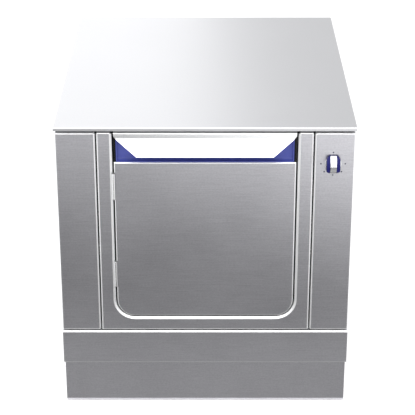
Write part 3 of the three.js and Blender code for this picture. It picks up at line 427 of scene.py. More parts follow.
def upright_sheet(name, low, high):
    """A flat sheet in the plane of the fronts, facing forwards, left open for shaping."""
    deselect()
    bpy.ops.mesh.primitive_plane_add(size=1, rotation=(math.radians(90), 0, 0))
    made = bpy.context.object
    made.name = name
    made.location = ((low.x + high.x) / 2, low.y, (low.z + high.z) / 2)
    made.scale = (high.x - low.x, high.z - low.z, 1)
    bpy.ops.object.transform_apply(location=True, rotation=True, scale=True)
    edit(made)
    return made


def fold_back(test, depth):
    """Folds the outer edges that pass a test straight back."""
    pick("EDGE", lambda edge: edge.is_boundary and test(middle(edge)))
    bpy.ops.mesh.extrude_edges_move(TRANSFORM_OT_translate={"value": (0, depth, 0)})


def joined(first, *others):
    """Joins pieces that are fixed together into the first of them."""
    deselect()
    for other in (first, *others):
        other.select_set(True)
    bpy.context.view_layer.objects.active = first
    bpy.ops.object.join()
    return first


TRIM = Vector((0, 0, 0.03))
surround = upright_sheet("door_surround_sheet", low, high + TRIM)
bisect((-opening_half, 0, 0), (1, 0, 0))
bisect((opening_half, 0, 0), (1, 0, 0))
bisect((0, 0, opening_bottom), (0, 0, 1))
pick(
    "FACE",
    lambda face: abs(face.calc_center_median().x) < opening_half
    and face.calc_center_median().z > opening_bottom,
)
bpy.ops.mesh.delete(type="FACE")
bpy.ops.mesh.select_all(action="SELECT")
bpy.ops.mesh.dissolve_limited(angle_limit=math.radians(1))
pick("VERT", lambda vert: near(abs(vert.co.x), opening_half) and near(vert.co.z, opening_bottom))
bpy.ops.mesh.bevel(offset=DOOR_RADIUS + DOOR_GAP, segments=CORNER_STEPS, profile=0.5, affect="VERTICES")


def in_opening(place):
    return abs(place.x) < opening_half + 0.0002 and place.z > opening_bottom - 0.0002


fold_back(lambda place: in_opening(place) and place.z < high.z + 0.02, high.y - low.y)
fold_back(lambda place: near(place.y, low.y) and not in_opening(place) and place.z < high.z + 0.02, 0.02)
pick(
    "EDGE",
    lambda edge: not edge.is_boundary and near(middle(edge).y, low.y) and in_opening(middle(edge)),
)
bpy.ops.mesh.bevel(offset=LIP_FOLD, segments=6, profile=LIP_SHAPE)
pick(
    "VERT",
    lambda vert: 0.0001 < vert.co.y - low.y < LIP_FOLD + 0.0002 and abs(vert.co.x) < opening_half + LIP_FOLD,
)
bpy.ops.transform.resize(value=(1, LIP_FLATTER, 1), center_override=(0, low.y, 0))
pick(
    "EDGE",
    lambda edge: not edge.is_boundary
    and (near(abs(middle(edge).x), high.x) or near(middle(edge).z, low.z))
    and near(edge.verts[0].co.y, low.y),
)
bpy.ops.mesh.bevel(offset=FRONT_FOLD, segments=4, profile=FRONT_FOLD_SHAPE)
STILE_TOP = Vector((0, 0, high.z - PANEL_FOLD))
bpy.ops.mesh.select_all(action="SELECT")
bpy.ops.mesh.bisect(plane_co=STILE_TOP, plane_no=(0, 0, 1), clear_outer=True)
done()
wall(surround, SHEET)
caps = []
for side in (-1, 1):
    reach = sorted((side * (opening_half + LIP_FOLD * 0.7), side * (high.x - FRONT_FOLD * 0.5)))
    cap = block("stile_top", (reach[0], low.y, STILE_TOP.z), (reach[1], low.y + 0.02, high.z))
    edit(cap)
    pick("EDGE", lambda edge: near(middle(edge).y, low.y) and near(middle(edge).z, high.z))
    bpy.ops.mesh.bevel(offset=PANEL_FOLD * 0.98, segments=4, profile=0.5)
    done()
    caps.append(cap)


def rounded_bar(name, radius, start, end, round_end, steps=28):
    """A round bar between two points, with rounded ends."""
    start, end = Vector(start), Vector(end)
    deselect()
    bpy.ops.mesh.primitive_cylinder_add(
        vertices=steps,
        radius=radius,
        depth=(end - start).length,
        location=(start + end) / 2,
        rotation=(end - start).to_track_quat("Z", "Y").to_euler(),
    )
    made = bpy.context.object
    made.name = name
    bpy.ops.object.transform_apply(location=True, rotation=True, scale=True)
    if round_end:
        along = (end - start).normalized()
        edit(made)
        pick("EDGE", lambda edge: abs((edge.verts[1].co - edge.verts[0].co).normalized().dot(along)) < 0.5)
        bpy.ops.mesh.bevel(offset=round_end, segments=3, profile=0.5)
        done()
    return made


def cut_away(made, tool):
    """Cuts one shape out of a piece and throws the cutting shape away."""
    modify(made, "BOOLEAN", operation="DIFFERENCE", object=tool, solver="EXACT")
    bpy.data.objects.remove(tool)


def notch_for_hinges(made):
    for name in ("upper", "lower"):
        pin_low, pin_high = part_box(f"hinge_{name}_pin")
        x = (pin_low.x + pin_high.x) / 2
        notch = rounded_bar(
            "notch",
            KNUCKLE_RADIUS + 0.0006,
            (x, low.y, pin_low.z - 0.0008),
            (x, low.y, pin_high.z + 0.0008),
            0,
        )
        cut_away(made, notch)


# The caps go on after the notches are cut, so that the cut only ever meets one closed shell.
notch_for_hinges(surround)
joined(surround, *caps)
hand_over(surround, "cabinet", stainless_across, ["door_surround"])

# ---- Painted shade in the door's jambs ----
# Black strips, in the rubber finish, set on the jambs of the doorway just behind the rolled edge. They are
# painted shade: they darken the gap beside the door. They stop short of the hinges.

SHADE_STRIP_DEPTH = (0.007, 0.019)
SHADE_STRIP_WIDTH = {"left": 0.0027, "right": 0.0020}
SHADE_STRIP_ROUND = 0.0009


def moulded_plastic(name, light, dark, roughness, gloss=0.5):
    """Injection-moulded plastic with a fine spark-eroded grain and slight clouding."""
    made, shader, tone = finish_named(name)
    place = tone.add("ShaderNodeTexCoord", output="Object")
    grain = tone.noise(place, 2200, detail=1.0)
    clouds = tone.noise(place, 22, detail=3.0)
    tone.tree.links.new(tone.blend(clouds, dark, light).socket, shader.inputs["Base Color"])
    rough = grain * 0.12 + clouds * 0.05 + (roughness - 0.08)
    tone.tree.links.new(rough.socket, shader.inputs["Roughness"])
    bump = tone.add("ShaderNodeBump", None, {"Strength": 0.3, "Distance": 0.00005, "Height": grain})
    tone.tree.links.new(bump.socket, shader.inputs["Normal"])
    shader.inputs["Specular IOR Level"].default_value = gloss
    return made


rubber = moulded_plastic("black_rubber", (0.012, 0.012, 0.013, 1), (0.007, 0.007, 0.008, 1), 0.85, 0.08)
hinge_spans = [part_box(f"hinge_{name}_frame_leaf") for name in ("lower", "upper")]
shade_strip_bottom = opening_bottom + DOOR_RADIUS + DOOR_GAP
shade_strip_top = high.z - 0.001
left_ends = [shade_strip_bottom]
for leaf_low, leaf_high in hinge_spans:
    left_ends += [leaf_low.z - 0.002, leaf_high.z + 0.002]
left_ends.append(shade_strip_top)
shade_strip_runs = {"right": [(shade_strip_bottom, shade_strip_top)], "left": list(zip(left_ends[::2], left_ends[1::2]))}
for name, side in (("left", -1), ("right", 1)):
    outer = side * (opening_half - 0.0002)
    reach = sorted((outer, outer - side * SHADE_STRIP_WIDTH[name]))
    for number, (bottom, top) in enumerate(shade_strip_runs[name]):
        shade_strip = block(
            f"jamb_shade_strip_{name}_{number}",
            (reach[0], low.y + SHADE_STRIP_DEPTH[0], bottom),
            (reach[1], low.y + SHADE_STRIP_DEPTH[1], top),
        )
        edit(shade_strip)
        pick("EDGE", lambda edge: near(middle(edge).x, outer - side * SHADE_STRIP_WIDTH[name]))
        bpy.ops.mesh.bevel(offset=SHADE_STRIP_ROUND, segments=3, profile=0.5)
        done()
        hand_over(shade_strip, "cabinet", rubber, [])

# ---- Door skin ----
# A shallow stainless pan with two rounded lower corners. Its edge is folded back all round, and it is
# notched on the left for the hinges.

SKIN_FOLD = 0.0042

low, high = skin_low, skin_high
skin = upright_sheet("door_skin_sheet", low, high)
pick("VERT", lambda vert: near(vert.co.z, low.z))
bpy.ops.mesh.bevel(offset=DOOR_RADIUS, segments=CORNER_STEPS, profile=0.5, affect="VERTICES")
fold_back(lambda place: True, high.y - low.y)
pick("EDGE", lambda edge: near(edge.verts[0].co.y, low.y) and near(edge.verts[1].co.y, low.y))
bpy.ops.mesh.bevel(offset=SKIN_FOLD, segments=5, profile=0.5)
done()
wall(skin, SHEET)
notch_for_hinges(skin)
hand_over(skin, "door", stainless_across, ["door_skin"])

# ---- Door grip ----
# A bright-polished strip of stainless steel, folded forwards over the finger pocket. Its front hangs at
# a slant, narrows towards its lower edge and ends in a rolled hem.

GRIP_SHEET = 0.002
GRIP_FOLD = 0.0032
GRIP_HEM = 0.0009
GRIP_BAND = 0.0175

low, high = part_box("handle_grip")
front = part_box("door_skin")[0].y
band_bottom = high.z - GRIP_BAND


def rounded_run(points, radii, steps=5):
    """A run of points on Y and Z with its corners rounded, each to its own radius."""
    run = [Vector(points[0])]
    for before, corner, after, radius in zip(points, points[1:], points[2:], radii):
        corner = Vector(corner)
        back = (Vector(before) - corner).normalized()
        on = (Vector(after) - corner).normalized()
        half_angle = back.angle(on) / 2
        setback = radius / math.tan(half_angle)
        centre = corner + (back + on).normalized() * (radius / math.sin(half_angle))
        first = corner + back * setback - centre
        last = corner + on * setback - centre
        for step in range(steps + 1):
            share = step / steps
            run.append(centre + first.slerp(last, share).normalized() * radius)
    run.append(Vector(points[-1]))
    return run


def grip_half_width(place):
    """How far the grip reaches to each side: straight at the top, a rounded shoulder, then the slant."""
    top, bend, lower = high.x, 0.236, 0.179
    if place.y > band_bottom + 0.012:
        return top
    if place.y > band_bottom - 0.004:
        share = (band_bottom + 0.012 - place.y) / 0.016
        return top - (top - bend + 0.004) * share**2
    share = (band_bottom - 0.004 - place.y) / (band_bottom - 0.004 - low.z)
    return bend - 0.004 - (bend - 0.004 - lower) * share


grip_corners = [
    (high.y, high.z), (front, high.z), (front, band_bottom), (low.y, low.z), (low.y + 0.012, low.z),
]
grip_run = rounded_run(grip_corners, [GRIP_FOLD, GRIP_FOLD, GRIP_HEM])
fine_run = []
for before, after in zip(grip_run, grip_run[1:]):
    pieces = max(1, round((after - before).length / 0.004)) if before.y > band_bottom - 0.006 else 1
    fine_run += [before.lerp(after, step / pieces) for step in range(pieces)]
fine_run.append(grip_run[-1])

deselect()
bpy.ops.mesh.primitive_plane_add(size=1)
grip = bpy.context.object
grip.name = "door_grip"
edit(grip)
bpy.ops.mesh.merge(type="CENTER")
bpy.ops.transform.translate(value=(-grip_half_width(fine_run[0]), fine_run[0].x, fine_run[0].y))
grip_top_width = 2 * grip_half_width(fine_run[0])
bpy.ops.mesh.extrude_vertices_move(TRANSFORM_OT_translate={"value": (grip_top_width, 0, 0)})
bpy.ops.mesh.select_all(action="SELECT")
for before, after in zip(fine_run, fine_run[1:]):
    step_on = (0, after.x - before.x, after.y - before.y)
    bpy.ops.mesh.extrude_edges_move(TRANSFORM_OT_translate={"value": step_on})
    bpy.ops.transform.resize(
        value=(grip_half_width(after) / grip_half_width(before), 1, 1),
        center_override=(0, after.x, after.y),
    )
bpy.ops.mesh.select_all(action="SELECT")
bpy.ops.mesh.normals_make_consistent(inside=False)
done()
wall(grip, GRIP_SHEET)
modify(grip, "BEVEL", width=0.0002, segments=2, limit_method="ANGLE", angle_limit=math.radians(50))

stainless_bright = brushed_stainless(
    "stainless_polished", 0, (0.86, 0.865, 0.87, 1), (0.78, 0.785, 0.80, 1), 0.24
)
hand_over(grip, "door", stainless_bright, ["handle_grip"])

# ---- Finger pocket ----
# A blue moulded tub behind the grip, open to the front, with a large radius at the bottom for the
# fingertips. It clips between the grip's flange and the top of the door's skin.

POCKET_WALL = 0.002

low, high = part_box("handle_recess")
pocket = block("finger_pocket", low, high)
edit(pocket)
pick("FACE", lambda face: face.normal.y < -0.9)
bpy.ops.mesh.delete(type="FACE")
pick("EDGE", lambda edge: near(middle(edge).y, high.y) and near(middle(edge).z, low.z))
bpy.ops.mesh.bevel(offset=0.011, segments=8, profile=0.5)
pick("EDGE", lambda edge: near(abs(middle(edge).x), high.x) and not edge.is_boundary)
bpy.ops.mesh.bevel(offset=0.003, segments=4, profile=0.5)
done()
wall(pocket, POCKET_WALL)
modify(pocket, "BEVEL", width=0.0004, segments=2, limit_method="ANGLE", angle_limit=math.radians(50))

blue_plastic = moulded_plastic("blue_plastic", (0.075, 0.092, 0.35, 1), (0.050, 0.064, 0.27, 1), 0.45, 0.25)
hand_over(pocket, "door", blue_plastic, ["handle_recess"])

# ---- Painted shade at the pocket's ends ----
# Two black strips, in the rubber finish, at the ends of the pocket. They are painted shade: they close the
# gap between the pocket and the surround with black, from the grip down to the skin.

SHADE_STRIP_SIDE_GAP = 0.0006

skin_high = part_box("door_skin")[1]
pocket_low, pocket_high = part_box("handle_recess")
grip_low, grip_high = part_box("handle_grip")
for name, side in (("left", -1), ("right", 1)):
    reach = sorted((side * (pocket_high.x + 0.0002), side * (skin_high.x - SHADE_STRIP_SIDE_GAP)))
    shade_strip = block(
        f"pocket_end_shade_strip_{name}",
        (reach[0], pocket_low.y + 0.001, skin_high.z + 0.0003),
        (reach[1], pocket_high.y - 0.001, grip_high.z - GRIP_SHEET - 0.0006),
    )
    edit(shade_strip)
    pick("EDGE", lambda edge: near(middle(edge).y, pocket_low.y + 0.001))
    bpy.ops.mesh.bevel(offset=0.0018, segments=4, profile=0.5)
    done()
    hand_over(shade_strip, "door", rubber, [])

# ---- Hinges ----
# Butt hinges of polished stainless steel: two knuckles on the frame's leaf, one on the door's leaf
# between them, and a pin with domed heads.

KNUCKLE_GAP = 0.0003
PIN_RADIUS = 0.0034
PIN_DOME = 0.0012

for name in ("upper", "lower"):
    pin_low, pin_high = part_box(f"hinge_{name}_pin")
    leaf_low, leaf_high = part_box(f"hinge_{name}_frame_leaf")
    x = (pin_low.x + pin_high.x) / 2
    third = (leaf_high.z - leaf_low.z) / 3
    knuckles = {
        "frame": [(leaf_low.z, leaf_low.z + third), (leaf_high.z - third, leaf_high.z)],
        "door": [(leaf_low.z + third, leaf_high.z - third)],
    }
    for side, spans in knuckles.items():
        bars = [
            rounded_bar(
                f"hinge_{name}_{side}_half",
                KNUCKLE_RADIUS,
                (x, front, bottom + KNUCKLE_GAP / 2),
                (x, front, top - KNUCKLE_GAP / 2),
                0.0004,
            )
            for bottom, top in spans
        ]
        flank = 1 if side == "door" else -1
        face = x + flank * 0.0017
        for bottom, top in spans:
            leaf = block(
                "leaf",
                (min(face, face - flank * 0.0014), front + 0.001, bottom + KNUCKLE_GAP),
                (max(face, face - flank * 0.0014), front + 0.032, top - KNUCKLE_GAP),
            )
            edit(leaf)
            bpy.ops.mesh.bevel(offset=0.0003, segments=2, profile=0.5)
            done()
            bars.append(leaf)
        joined(*bars)
        body = "door" if side == "door" else "cabinet"
        hand_over(bars[0], body, stainless_bright, [f"hinge_{name}_{side}_leaf"])
    pin_ends = (x, front, pin_low.z), (x, front, pin_high.z)
    pin = rounded_bar(f"hinge_{name}_pin_domed", PIN_RADIUS, *pin_ends, PIN_DOME)
    hand_over(pin, "cabinet", zinc, [f"hinge_{name}_pin"])

# ---- Selector ----
# An arched bar of blue moulded plastic with a polished bar let into it from end to end, turned over a
# bright ring on the control panel. Six small printed marks round it show its places.

KNOB_EDGE = 0.0055
KNOB_CORNER = 0.0075
BAR_CORNER = 0.0006
KNOB_BAR_BED = 0.005
KNOB_BAR_PROUD = 0.0015
KNOB_STEM_RADIUS = 0.003

low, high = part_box("selector_knob")
insert_low, insert_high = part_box("knob_insert")
knob_x, knob_z = (low.x + high.x) / 2, (low.z + high.z) / 2
panel_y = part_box("control_panel")[0].y
knob_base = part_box("knob_bezel")[0].y - 0.0006


def arched_bar(name, low, high, ends_y, corner):
    """A bar that lies upright on the panel, arched to the front, with its four corners cut off."""
    made = block(name, low, high)
    edit(made)
    pick("EDGE", lambda edge: near(middle(edge).y, (low.y + high.y) / 2))
    bpy.ops.mesh.bevel(offset=corner, segments=3, profile=0.25)
    half = (high.z - low.z) / 2
    centre = (low.z + high.z) / 2
    for share in (-0.92, -0.8, -0.66, -0.5, -0.34, -0.17, 0, 0.17, 0.34, 0.5, 0.66, 0.8, 0.92):
        bisect((0, 0, centre + half * share), (0, 0, 1))
    rise = ends_y - low.y
    radius = (half**2 + rise**2) / (2 * rise)
    pick("VERT", lambda vert: near(vert.co.y, low.y))
    shape = bmesh.from_edit_mesh(made.data)
    for vert in shape.verts:
        if vert.select:
            offset = min(half, abs(vert.co.z - centre))
            vert.co.y = low.y + radius - math.sqrt(radius**2 - offset**2)
    bmesh.update_edit_mesh(made.data)
    done()
    return made


knob = arched_bar(
    "selector_knob_moulded",
    Vector((low.x, low.y, low.z)),
    Vector((high.x, knob_base, high.z)),
    panel_y - KNOB_EDGE,
    KNOB_CORNER,
)
slot_cut = block(
    "slot",
    (insert_low.x - 0.0003, low.y - 0.01, low.z - 0.01),
    (insert_high.x + 0.0003, panel_y - KNOB_BAR_BED, high.z + 0.01),
)
cut_away(knob, slot_cut)
modify(knob, "BEVEL", width=0.0011, segments=3, limit_method="ANGLE", angle_limit=math.radians(35))
stem_ends = (knob_x, knob_base - 0.001, knob_z), (knob_x, high.y, knob_z)
stem = rounded_bar("stem", KNOB_STEM_RADIUS, *stem_ends, 0.0004)
joined(knob, stem)
navy_plastic = moulded_plastic("navy_plastic", (0.012, 0.013, 0.12, 1), (0.006, 0.007, 0.075, 1), 0.36, 0.15)
hand_over(knob, "selector", navy_plastic, ["selector_knob"], 40)

bar = arched_bar(
    "knob_bar",
    Vector((insert_low.x, insert_low.y, insert_low.z)),
    Vector((insert_high.x, panel_y - KNOB_BAR_BED - 0.0003, insert_high.z)),
    panel_y - KNOB_EDGE - KNOB_BAR_PROUD,
    BAR_CORNER,
)
modify(bar, "BEVEL", width=0.0012, segments=3, limit_method="ANGLE", angle_limit=math.radians(35))
hand_over(bar, "selector", stainless_bright, ["knob_insert"])

bezel_low, bezel_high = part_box("knob_bezel")
bezel_radius = (bezel_high.x - bezel_low.x) / 2
bezel_ends = (knob_x, bezel_low.y, knob_z), (knob_x, bezel_high.y, knob_z)
bezel = rounded_bar("knob_ring", bezel_radius, *bezel_ends, 0, 64)
edit(bezel)
pick("EDGE", lambda edge: near(middle(edge).y, bezel_low.y))
bpy.ops.mesh.bevel(offset=0.0013, segments=4, profile=0.5)
done()
hand_over(bezel, "cabinet", stainless_bright, ["knob_bezel"])

MARK_CIRCLE = 0.0325
MARK_RADIUS = 0.0021
MARK_THICKNESS = 0.0002

print_ink = moulded_plastic("print_ink", (0.05, 0.05, 0.09, 1), (0.035, 0.035, 0.06, 1), 0.6)
for number, angle in enumerate((90, 0, -45, -90, -135, 180)):
    turn = math.radians(angle)
    centre = Vector((knob_x, panel_y, knob_z)) + Vector((math.cos(turn), 0, math.sin(turn))) * MARK_CIRCLE
    face = centre - Vector((0, MARK_THICKNESS, 0))
    mark = rounded_bar(f"selector_mark_{number}", MARK_RADIUS, face, centre, 0.00005, 20)
    hand_over(mark, "cabinet", print_ink, [])

# ---- Plinth ----
# Three flat strips of satin stainless steel round the feet, set back under the panels, with their cut
# edges dressed smooth.

for node, inwards in (("plinth_front", (0, 1, 0)), ("plinth_left", (1, 0, 0)), ("plinth_right", (-1, 0, 0))):
    low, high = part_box(node)
    grain = stainless_across if node == "plinth_front" else stainless_deep
    strip = block(f"{node}_strip", low, high)
    edit(strip)
    bpy.ops.mesh.bevel(offset=0.0004, segments=3, profile=0.5)
    done()
    hand_over(strip, "cabinet", grain, [node])

# ---- Back panel ----
# A flat stainless sheet, screwed to the side panels' returns. Under each of its eight slots hangs a
# pressed hood that keeps water out of the motor's space.

VENTS = 8
VENT_PITCH = 0.022
FIRST_VENT_DROP = 0.090
HOOD_HALF = 0.134
HOOD_HEIGHT = 0.0125
HOOD_PROUD = 0.0042
HOOD_WALL = 0.0011
PAN_HEAD = 0.0042
PAN_HEAD_RISE = 0.0024


def refined(node, name, softening, steps=2):
    """A copy of a CAD node's solid with its doubles merged and its edges softened."""
    deselect()
    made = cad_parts[node].copy()
    made.data = made.data.copy()
    made.parent = None
    made.name = name
    made.hide_render = False
    made.data.materials.clear()
    bpy.context.collection.objects.link(made)
    edit(made)
    bpy.ops.mesh.remove_doubles(threshold=0.00001)
    bpy.ops.mesh.dissolve_limited(angle_limit=math.radians(1))
    done()
    if softening:
        modify(
            made,
            "BEVEL",
            width=softening,
            segments=steps,
            limit_method="ANGLE",
            angle_limit=math.radians(40),
            use_clamp_overlap=True,
        )
    return made


def refinish(node, name, body, finish, softening, steps=2):
    """Takes a CAD node's place with a softened copy of it."""
    hand_over(refined(node, name, softening, steps), body, finish, [node])


def placed_copies(made, places):
    """Copies of a piece at a list of offsets. The piece given is taken away."""
    copies = []
    for place in places:
        twin = made.copy()
        twin.data = made.data.copy()
        bpy.context.collection.objects.link(twin)
        edit(twin)
        bpy.ops.transform.translate(value=place)
        done()
        copies.append(twin)
    bpy.data.objects.remove(made)
    return copies


def pan_head(direction):
    """A pan-head screw's head with a hexagon socket, at the origin, which stands up along a direction."""
    direction = Vector(direction)
    head = rounded_bar("screw_head", PAN_HEAD, (0, 0, 0), direction * PAN_HEAD_RISE, 0, 24)
    edit(head)
    pick("FACE", lambda face: face.normal.dot(direction) > 0.9)
    bpy.ops.mesh.bevel(offset=0.0012, segments=3, profile=0.5, affect="EDGES")
    done()
    bpy.ops.mesh.primitive_cylinder_add(
        vertices=6,
        radius=PAN_HEAD * 0.42,
        depth=PAN_HEAD_RISE,
        location=direction * PAN_HEAD_RISE,
        rotation=direction.to_track_quat("Z", "Y").to_euler(),
    )
    cut_away(head, bpy.context.object)
    return head


low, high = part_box("back_panel")
back = refined("back_panel", "back_panel_sheet", 0.0003)
vent_tops = [high.z - FIRST_VENT_DROP - VENT_PITCH * number for number in range(VENTS)]
hood = block("hood", (-HOOD_HALF, high.y - 0.0002, 0), (HOOD_HALF, high.y + HOOD_PROUD, HOOD_HEIGHT))
edit(hood)
pick("FACE", lambda face: face.normal.z < -0.9 or face.normal.y < -0.9)
bpy.ops.mesh.delete(type="FACE")
pick("EDGE", lambda edge: not edge.is_boundary and near(middle(edge).z, HOOD_HEIGHT))
bpy.ops.mesh.bevel(offset=HOOD_PROUD * 0.8, segments=5, profile=0.5)
pick("EDGE", lambda edge: not edge.is_boundary and near(abs(middle(edge).x), HOOD_HALF))
bpy.ops.mesh.bevel(offset=HOOD_PROUD * 0.5, segments=3, profile=0.5)
done()
modify(hood, "SOLIDIFY", thickness=HOOD_WALL, offset=-1, use_even_offset=False)
hoods = placed_copies(hood, [(0, 0, top - 0.0095) for top in vent_tops])
edge_x = high.x - 0.0085
rows = [low.z + 0.02 + (high.z - low.z - 0.04) * number / 5 for number in range(6)]
screw_places = [(side * edge_x, high.y, z) for side in (-1, 1) for z in rows]
screw_places += [(x, high.y, z) for x in (-0.2, 0, 0.2) for z in (rows[0], rows[-1])]
joined(back, *hoods)
hand_over(back, "cabinet", stainless_across, ["back_panel"])
heads = placed_copies(pan_head((0, 1, 0)), screw_places)
joined(*heads)
heads[0].name = "back_panel_screws"
hand_over(heads[0], "cabinet", stainless_bright, [])

# ---- Cable gland ----
# A black nylon gland: a round turned body and a domed nut with grip ribs round it. No cable comes with it.

GLAND_RIBS = 12

low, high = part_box("cable_gland")
gland_x, gland_z = (low.x + high.x) / 2, (low.z + high.z) / 2
back_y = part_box("back_panel")[1].y


def turned(name, centre, profile, direction=(0, 0, 1), steps=48):
    """A turned solid: a profile of radius and height, spun about an axis through a centre."""
    deselect()
    bpy.ops.mesh.primitive_plane_add(size=1)
    made = bpy.context.object
    made.name = name
    edit(made)
    bpy.ops.mesh.merge(type="CENTER")
    start = profile[0]
    bpy.ops.transform.translate(value=(start[0], 0, start[1]))
    for before, after in zip(profile, profile[1:]):
        offset = (after[0] - before[0], 0, after[1] - before[1])
        bpy.ops.mesh.extrude_vertices_move(TRANSFORM_OT_translate={"value": offset})
    bpy.ops.mesh.select_all(action="SELECT")
    bpy.ops.mesh.spin(steps=steps, angle=math.tau, center=(0, 0, 0), axis=(0, 0, 1))
    bpy.ops.mesh.select_all(action="SELECT")
    bpy.ops.mesh.remove_doubles(threshold=0.00001)
    bpy.ops.mesh.select_all(action="SELECT")
    bpy.ops.mesh.normals_make_consistent(inside=False)
    done()
    made.rotation_euler = Vector(direction).to_track_quat("Z", "Y").to_euler()
    made.location = centre
    bpy.ops.object.transform_apply(location=True, rotation=True, scale=True)
    return made


def rounded_profile(corners, radius, steps=3):
    """A turned profile with every corner that isn't on the axis rounded."""
    points = [Vector(corner) for corner in corners]
    run = [points[0]]
    for before, corner, after in zip(points, points[1:], points[2:]):
        reach = min(radius, (before - corner).length * 0.45, (after - corner).length * 0.45)
        first = corner + (before - corner).normalized() * reach
        last = corner + (after - corner).normalized() * reach
        for step in range(steps + 1):
            share = step / steps
            run.append(first.lerp(corner, share).lerp(corner.lerp(last, share), share))
    run.append(points[-1])
    return run


gland_radius = (high.x - low.x) / 2
gland_reach = high.y - back_y
gland = turned(
    "cable_gland_body",
    (gland_x, back_y, gland_z),
    rounded_profile(
        [
            (0.005, -0.016), (0.0098, -0.016), (0.0098, 0.0003), (gland_radius, 0.0003),
            (gland_radius, gland_reach * 0.4), (gland_radius * 0.88, gland_reach * 0.46),
            (gland_radius * 0.88, gland_reach * 0.75), (gland_radius * 0.55, gland_reach),
            (0.005, gland_reach), (0.005, -0.016),
        ],
        0.0006,
    ),
    (0, 1, 0),
)
ribs = []
for number in range(GLAND_RIBS):
    turn = math.tau * number / GLAND_RIBS
    offset = Vector((math.cos(turn), 0, math.sin(turn))) * gland_radius * 0.88
    centre = Vector((gland_x, back_y, gland_z)) + offset
    start, end = centre + Vector((0, gland_reach * 0.44, 0)), centre + Vector((0, gland_reach * 0.74, 0))
    ribs.append(rounded_bar("rib", 0.0011, start, end, 0.0004, 8))
joined(gland, *ribs)
black_plastic = moulded_plastic("black_plastic", (0.03, 0.03, 0.033, 1), (0.022, 0.022, 0.025, 1), 0.5)
hand_over(gland, "cabinet", black_plastic, ["cable_gland"])

# ---- Feet ----
# Four levelling feet: a turned pad, a threaded stem and a hexagon lock nut under the base's gusset.

PAD_HEIGHT = 0.007
FOOT_STEM = 0.006
THREAD_DEPTH = 0.0007
THREAD_PITCH = 0.00175


def ring_order(vert):
    return math.atan2(vert.co.y, vert.co.x)


def threaded_rod(name, centre, radius, bottom, top, pitch, depth, starts=1, steps=20):
    """A rod with a rolled thread, made as a core and one winding ridge for each start."""
    x, y = centre
    rod = rounded_bar(name, radius - depth, (x, y, bottom), (x, y, top), 0.0003, 32)
    lead = pitch * starts
    ridges = []
    for start in range(starts):
        bpy.ops.mesh.primitive_plane_add(size=1)
        ridge = bpy.context.object
        edit(ridge)
        shape = bmesh.from_edit_mesh(ridge.data)
        turn = math.tau * start / starts
        across = ((-depth, 0.42), (-depth, -0.42), (0, -0.16), (0, 0.16))
        for vert, (inwards, share) in zip(sorted(shape.verts, key=ring_order), across):
            reach = radius + inwards - (0.0001 if inwards else 0)
            height = bottom + lead * 0.75 + share * pitch
            vert.co = (reach * math.cos(turn), reach * math.sin(turn), height)
        bmesh.update_edit_mesh(ridge.data)
        bpy.ops.mesh.select_all(action="SELECT")
        bpy.ops.mesh.delete(type="ONLY_FACE")
        done()
        turns = math.floor((top - bottom) / lead - 1.2)
        modify(
            ridge,
            "SCREW",
            axis="Z",
            screw_offset=lead,
            iterations=turns,
            steps=steps,
            render_steps=steps,
            use_merge_vertices=True,
        )
        edit(ridge)
        bpy.ops.mesh.select_all(action="SELECT")
        bpy.ops.mesh.fill_holes(sides=4)
        bpy.ops.mesh.select_all(action="SELECT")
        bpy.ops.mesh.normals_make_consistent(inside=False)
        bpy.ops.transform.translate(value=(x, y, 0))
        done()
        ridges.append(ridge)
    return joined(rod, *ridges)


chrome = plated_steel("chromed_steel", (0.66, 0.67, 0.68, 1), (0.56, 0.57, 0.58, 1), 0.26)
for corner in ("front_left", "front_right", "rear_left", "rear_right"):
    node = f"foot_{corner}"
    low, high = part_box(node)
    x, y = (low.x + high.x) / 2, (low.y + high.y) / 2
    pad_radius = (high.x - low.x) / 2
    nut_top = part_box("base_frame")[0].z - 0.0003
    pad = turned(
        f"{node}_levelling",
        (x, y, 0),
        rounded_profile(
            [
                (0, 0), (pad_radius, 0), (pad_radius, PAD_HEIGHT), (0.0085, 2 * PAD_HEIGHT),
                (0.0085, 2 * PAD_HEIGHT + 0.004), (0, 2 * PAD_HEIGHT + 0.004),
            ],
            0.0016,
        ),
    )
    stem_bottom = 2 * PAD_HEIGHT + 0.002
    stem = threaded_rod("stem", (x, y), FOOT_STEM, stem_bottom, high.z, THREAD_PITCH, THREAD_DEPTH)
    nut = rounded_bar("nut", 0.011, (x, y, nut_top - 0.011), (x, y, nut_top), 0, 6)
    edit(nut)
    bpy.ops.mesh.bevel(offset=0.0007, segments=2, profile=0.5)
    done()
    joined(pad, stem, nut)
    hand_over(pad, "cabinet", chrome, [node])

# ---- Base and chamber ----
# The base is a welded pan of plated plate. The chamber on it is built of stainless sheets that the bin
# slides between, with a stiff ring in front that the door closes on.

refinish("base_frame", "base_frame_plate", "cabinet", zinc, 0.0008)
stainless_upright = brushed_stainless(
    "stainless_brushed_upright", 2, (0.58, 0.585, 0.60, 1), (0.46, 0.465, 0.48, 1), 0.38
)
for name in ("floor", "wall_left", "wall_right", "back", "front_frame"):
    node = f"chamber_{name}"
    refinish(node, f"{node}_sheet", "cabinet", stainless_upright, 0.0003)

# ---- Door liner and gasket ----
# The liner is a stainless plate with a pillow pressed into it, screwed round its edge. The gasket is a
# ring of soft black rubber with rounded edges, glued on to the liner.

PILLOW_RISE = 0.0034
PILLOW_INSET = (0.062, 0.075, 0.115)

